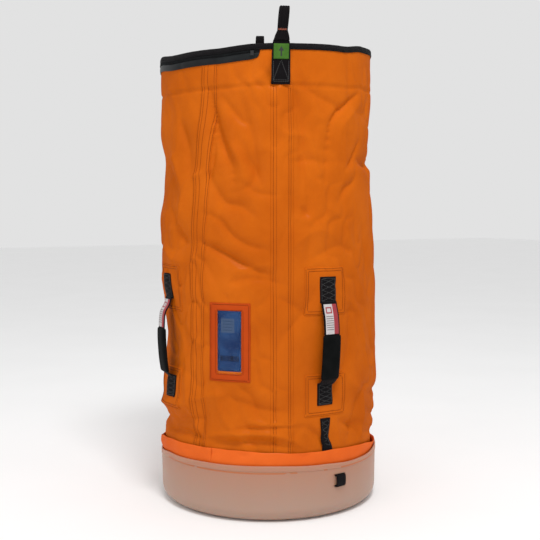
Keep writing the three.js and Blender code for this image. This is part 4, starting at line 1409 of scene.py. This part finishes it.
def place_tab(side, angle, place):
    """A sewn webbing end with its box and cross of grey thread."""
    node = f"handle_{side}_tab_{place}"
    low, high = bottom_of(node), top_of(node)
    if place == "upper":
        low += 8 * MM
    else:
        high -= 8 * MM
    angle = angle + degrees_wide(float(handle_aside(side, high)))
    name = f"{node}_webbing"
    tab = sewn_sheet(name, angle, low, high, HANDLE_WEBBING, WEBBING_BLACK,
                     lift=1.3 * MM, thickness=WEBBING, corner=1 * MM, cell=2.5 * MM, seams=(3 * MM,))
    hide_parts(node)
    lift = 1.3 * MM + WEBBING * 0.95
    grey_thread.box(angle, low, high, HANDLE_WEBBING, 3 * MM, lift, pitch=3.2 * MM, length=2.5 * MM)
    half = degrees_wide(HANDLE_WEBBING / 2 - 3.5 * MM)
    rise = 4 * MM
    turns = 5
    heights = np.linspace(low + rise, high - rise, turns)
    for side_first in (-1, 1):
        points = [(angle + half * side_first * (1 if k % 2 else -1), z) for k, z in enumerate(heights)]
        grey_thread.on_wall(points, lift, pitch=3.2 * MM, length=2.5 * MM)
    return low, high


def along_bow(line, tangent, low, high, count):
    """The stretch of the bow between two heights."""
    rows = np.where((line[:, 1] >= low) & (line[:, 1] <= high))[0]
    return evenly(line[rows], count), unit(evenly(tangent[rows], count))


def handle_grip(side, line, tangent, out, across, up, place):
    """Foam rubber sleeve: a flattened oval tube, rounded over at both ends."""
    low, high = bottom_of(f"handle_{side}_grip"), top_of(f"handle_{side}_grip")
    stations, around_count = 46, 36
    piece, t = along_bow(line, tangent, low - 1 * MM, high, stations)
    share = np.linspace(0, 1, stations)
    closing = np.minimum(share, 1 - share) / 0.055
    scale = np.sqrt(np.clip(1 - (1 - np.clip(closing, 0, 1)) ** 2, 0.0, 1)) * 0.30 + 0.70
    scale = np.where(share > 0.5, np.clip(scale, 0, 1), scale)
    loop = np.arange(around_count) / around_count * math.tau
    half_width, half_thick = 19 * MM, 4.2 * MM
    x = np.sign(np.cos(loop)) * np.abs(np.cos(loop)) ** 0.55 * half_width
    y = np.sign(np.sin(loop)) * np.abs(np.sin(loop)) ** 0.75 * half_thick
    crown = 1 + 0.10 * np.sin(share * math.pi)
    seam = 1 - 0.10 * np.exp(-((x / (1.2 * MM)) ** 2)) * (y < 0)
    path = place(piece)
    normal = out * t[:, 1:] - up * t[:, :1]
    section = (
        path[:, None]
        + across * (x[None] * (0.86 + 0.14 * scale[:, None]))[..., None]
        + normal[:, None] * (y[None] * seam[None] * (scale * crown)[:, None])[..., None]
    )
    name = f"handle_{side}_sleeve"
    index = np.arange(stations * around_count).reshape(stations, around_count)
    faces = quads(index, wrap_columns=True).tolist()
    points = section.reshape(-1, 3).tolist()
    for row, ring in ((0, index[0]), (stations - 1, index[-1])):
        hub = len(points)
        points.append(path[row].tolist())
        faces += [(hub, int(a), int(b)) for a, b in zip(ring, np.roll(ring, -1))]
    grip = finish_mesh(name, mesh_from(name, points, faces), GRIP_RUBBER, f"handle_{side}")
    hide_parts(f"handle_{side}_grip")


def handle_tag(side, line, tangent, out, across, up, place, tab_low):
    """Printed tape wrapped on the webbing above the grip."""
    low = top_of(f"handle_{side}_grip") + 1.5 * MM
    piece, t = along_bow(line, tangent, low, tab_low - 1 * MM, 40)
    path = place(piece)
    normal = -(out * t[:, 1:] - up * t[:, :1])
    front = normal * (-1 if (normal[0] @ out) < 0 else 1)
    path = path + front * (WEBBING / 2 + 0.5 * MM)
    path, front = path[::-1], front[::-1]
    name = f"handle_{side}_tag_tape"
    mesh = ribbon(name, path, front, np.repeat(across[None], 40, axis=0), 28 * MM, 0.7 * MM, 12)
    tag = finish_mesh(name, mesh, TAG, None)
    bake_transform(tag)
    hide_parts(f"handle_{side}_tag")


# ---------- card pocket ----------


def build_pocket():
    """Red-orange frame round a clear window, with the card behind it."""
    height = POCKET_TOP - POCKET_LOW
    hole = (WINDOW_WIDTH / 2, height / 2 - WINDOW_MARGIN)
    frame_piece = sewn_sheet("pocket_frame", POCKET_ANGLE, POCKET_LOW, POCKET_TOP, POCKET_WIDTH, POCKET_ORANGE,
                             lift=0.8 * MM, thickness=0.8 * MM, corner=2 * MM,
                             seams=(3 * MM, 15 * MM), hole=hole)
    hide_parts("id_pocket_frame")
    orange_thread.box(POCKET_ANGLE, POCKET_LOW, POCKET_TOP, POCKET_WIDTH, 3 * MM, 1.5 * MM)
    orange_thread.box(POCKET_ANGLE, POCKET_LOW, POCKET_TOP, POCKET_WIDTH, 13 * MM, 1.5 * MM)
    pane = sewn_sheet("pocket_window", POCKET_ANGLE, POCKET_LOW + 12 * MM, POCKET_TOP - 12 * MM,
                      WINDOW_WIDTH + 8 * MM, WINDOW, lift=0.85 * MM, thickness=0.4 * MM, cell=4 * MM)
    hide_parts("id_pocket_window")
    card = sewn_sheet("pocket_card", POCKET_ANGLE, CARD_LOW, CARD_TOP, 46 * MM, CARD,
                      lift=0.3 * MM, thickness=0.4 * MM, cell=4 * MM, body="id_card")
    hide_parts("id_card")


# ---------- base straps ----------


def build_base_straps():
    for number, angle in enumerate(BASE_STRAPS, 1):
        base_strap(f"base_strap_{number}", angle)


def base_strap(node, angle):
    """Webbing sewn to the wall, tucked behind the skirt and threaded through the tray."""
    hidden = TRAY_TOP - 12 * MM
    visible = np.linspace(STRAP_TOP, hidden, 26)
    sewn = np.stack([wall_radius(angle + strap_lean(visible), visible) + 1.5 * MM, visible], axis=1)
    sewn[:, 0] = np.minimum(sewn[:, 0], np.interp(visible, [0.12, 0.14], [0.2095, 0.23]))
    upper_slot, lower_slot = STRAP_SLOTS
    outside = TRAY_RADIUS + 2.2 * MM
    through = smooth_curve([
        (sewn[-1, 0], hidden), (0.2095, upper_slot + 0.005), (0.2125, upper_slot + 0.0007),
        (outside - 0.3 * MM, upper_slot - 0.0005), (outside + 1.2 * MM, (upper_slot + lower_slot) / 2),
        (outside - 0.3 * MM, lower_slot + 0.0005), (0.2125, lower_slot), (0.2095, lower_slot - 0.001),
    ], 50)
    line2 = np.vstack([sewn[:-1], through])
    tangent = unit(np.gradient(line2, axis=0))
    turned = angle + strap_lean(line2[:, 1])
    path = around(line2[:, 0], turned, line2[:, 1])
    out = np.array([outward(a) for a in turned])
    across = np.array([sideways(a) for a in turned])
    up = np.array([[0.0, 0.0, 1.0]])
    normal = -(out * tangent[:, 1:] - up * tangent[:, :1])
    width = np.interp(line2[:, 1], [0.05, 0.085, 0.12, 0.152, STRAP_TOP], [22.5 * MM, 22.5 * MM, 24 * MM, 16 * MM, 22 * MM])
    mesh = ribbon(f"{node}_webbing", path, normal, across, width, WEBBING, 12)
    strap = finish_mesh(f"{node}_webbing", mesh, WEBBING_BLACK, "root")
    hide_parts(node)
    half = degrees_wide(8 * MM)
    low, high = 0.132, STRAP_TOP - 2.5 * MM
    heights = np.linspace(low, high, 9)
    reach = np.interp(heights, [0.12, 0.152, STRAP_TOP], [0.9, 0.62, 0.9])
    lift = 1.5 * MM + WEBBING / 2 + 0.1 * MM
    for sides in ((-1, -1), (1, 1), (-1, 1)):
        turned = angle + strap_lean(heights) + half * reach * np.where(np.arange(9) % 2, *sides)
        grey_thread.on_wall(list(zip(turned, heights)), lift, pitch=3 * MM, length=2.4 * MM)


# ---------- zip hardware: CAD shapes with their own finish ----------


def finish_hardware():
    for node in ("zip_slider", "zip_pull", "zip_end_stop"):
        piece = frame["nodes"][node]
        piece.data.materials.clear()
        piece.data.materials.append(ZIP_METAL)


studio()
build_tray()
build_wall()
build_skirt()
build_floor()
build_binding()
build_facing()
build_zip()
build_seams()
build_sling()
build_loops()
build_handles()
build_pocket()
build_base_straps()
finish_hardware()
orange_thread.build("stitches_orange", ORANGE_THREAD, "root")
grey_thread.build("stitches_grey", GREY_THREAD, "root")
black_thread.build("stitches_black", ZIP_COAT, "root")
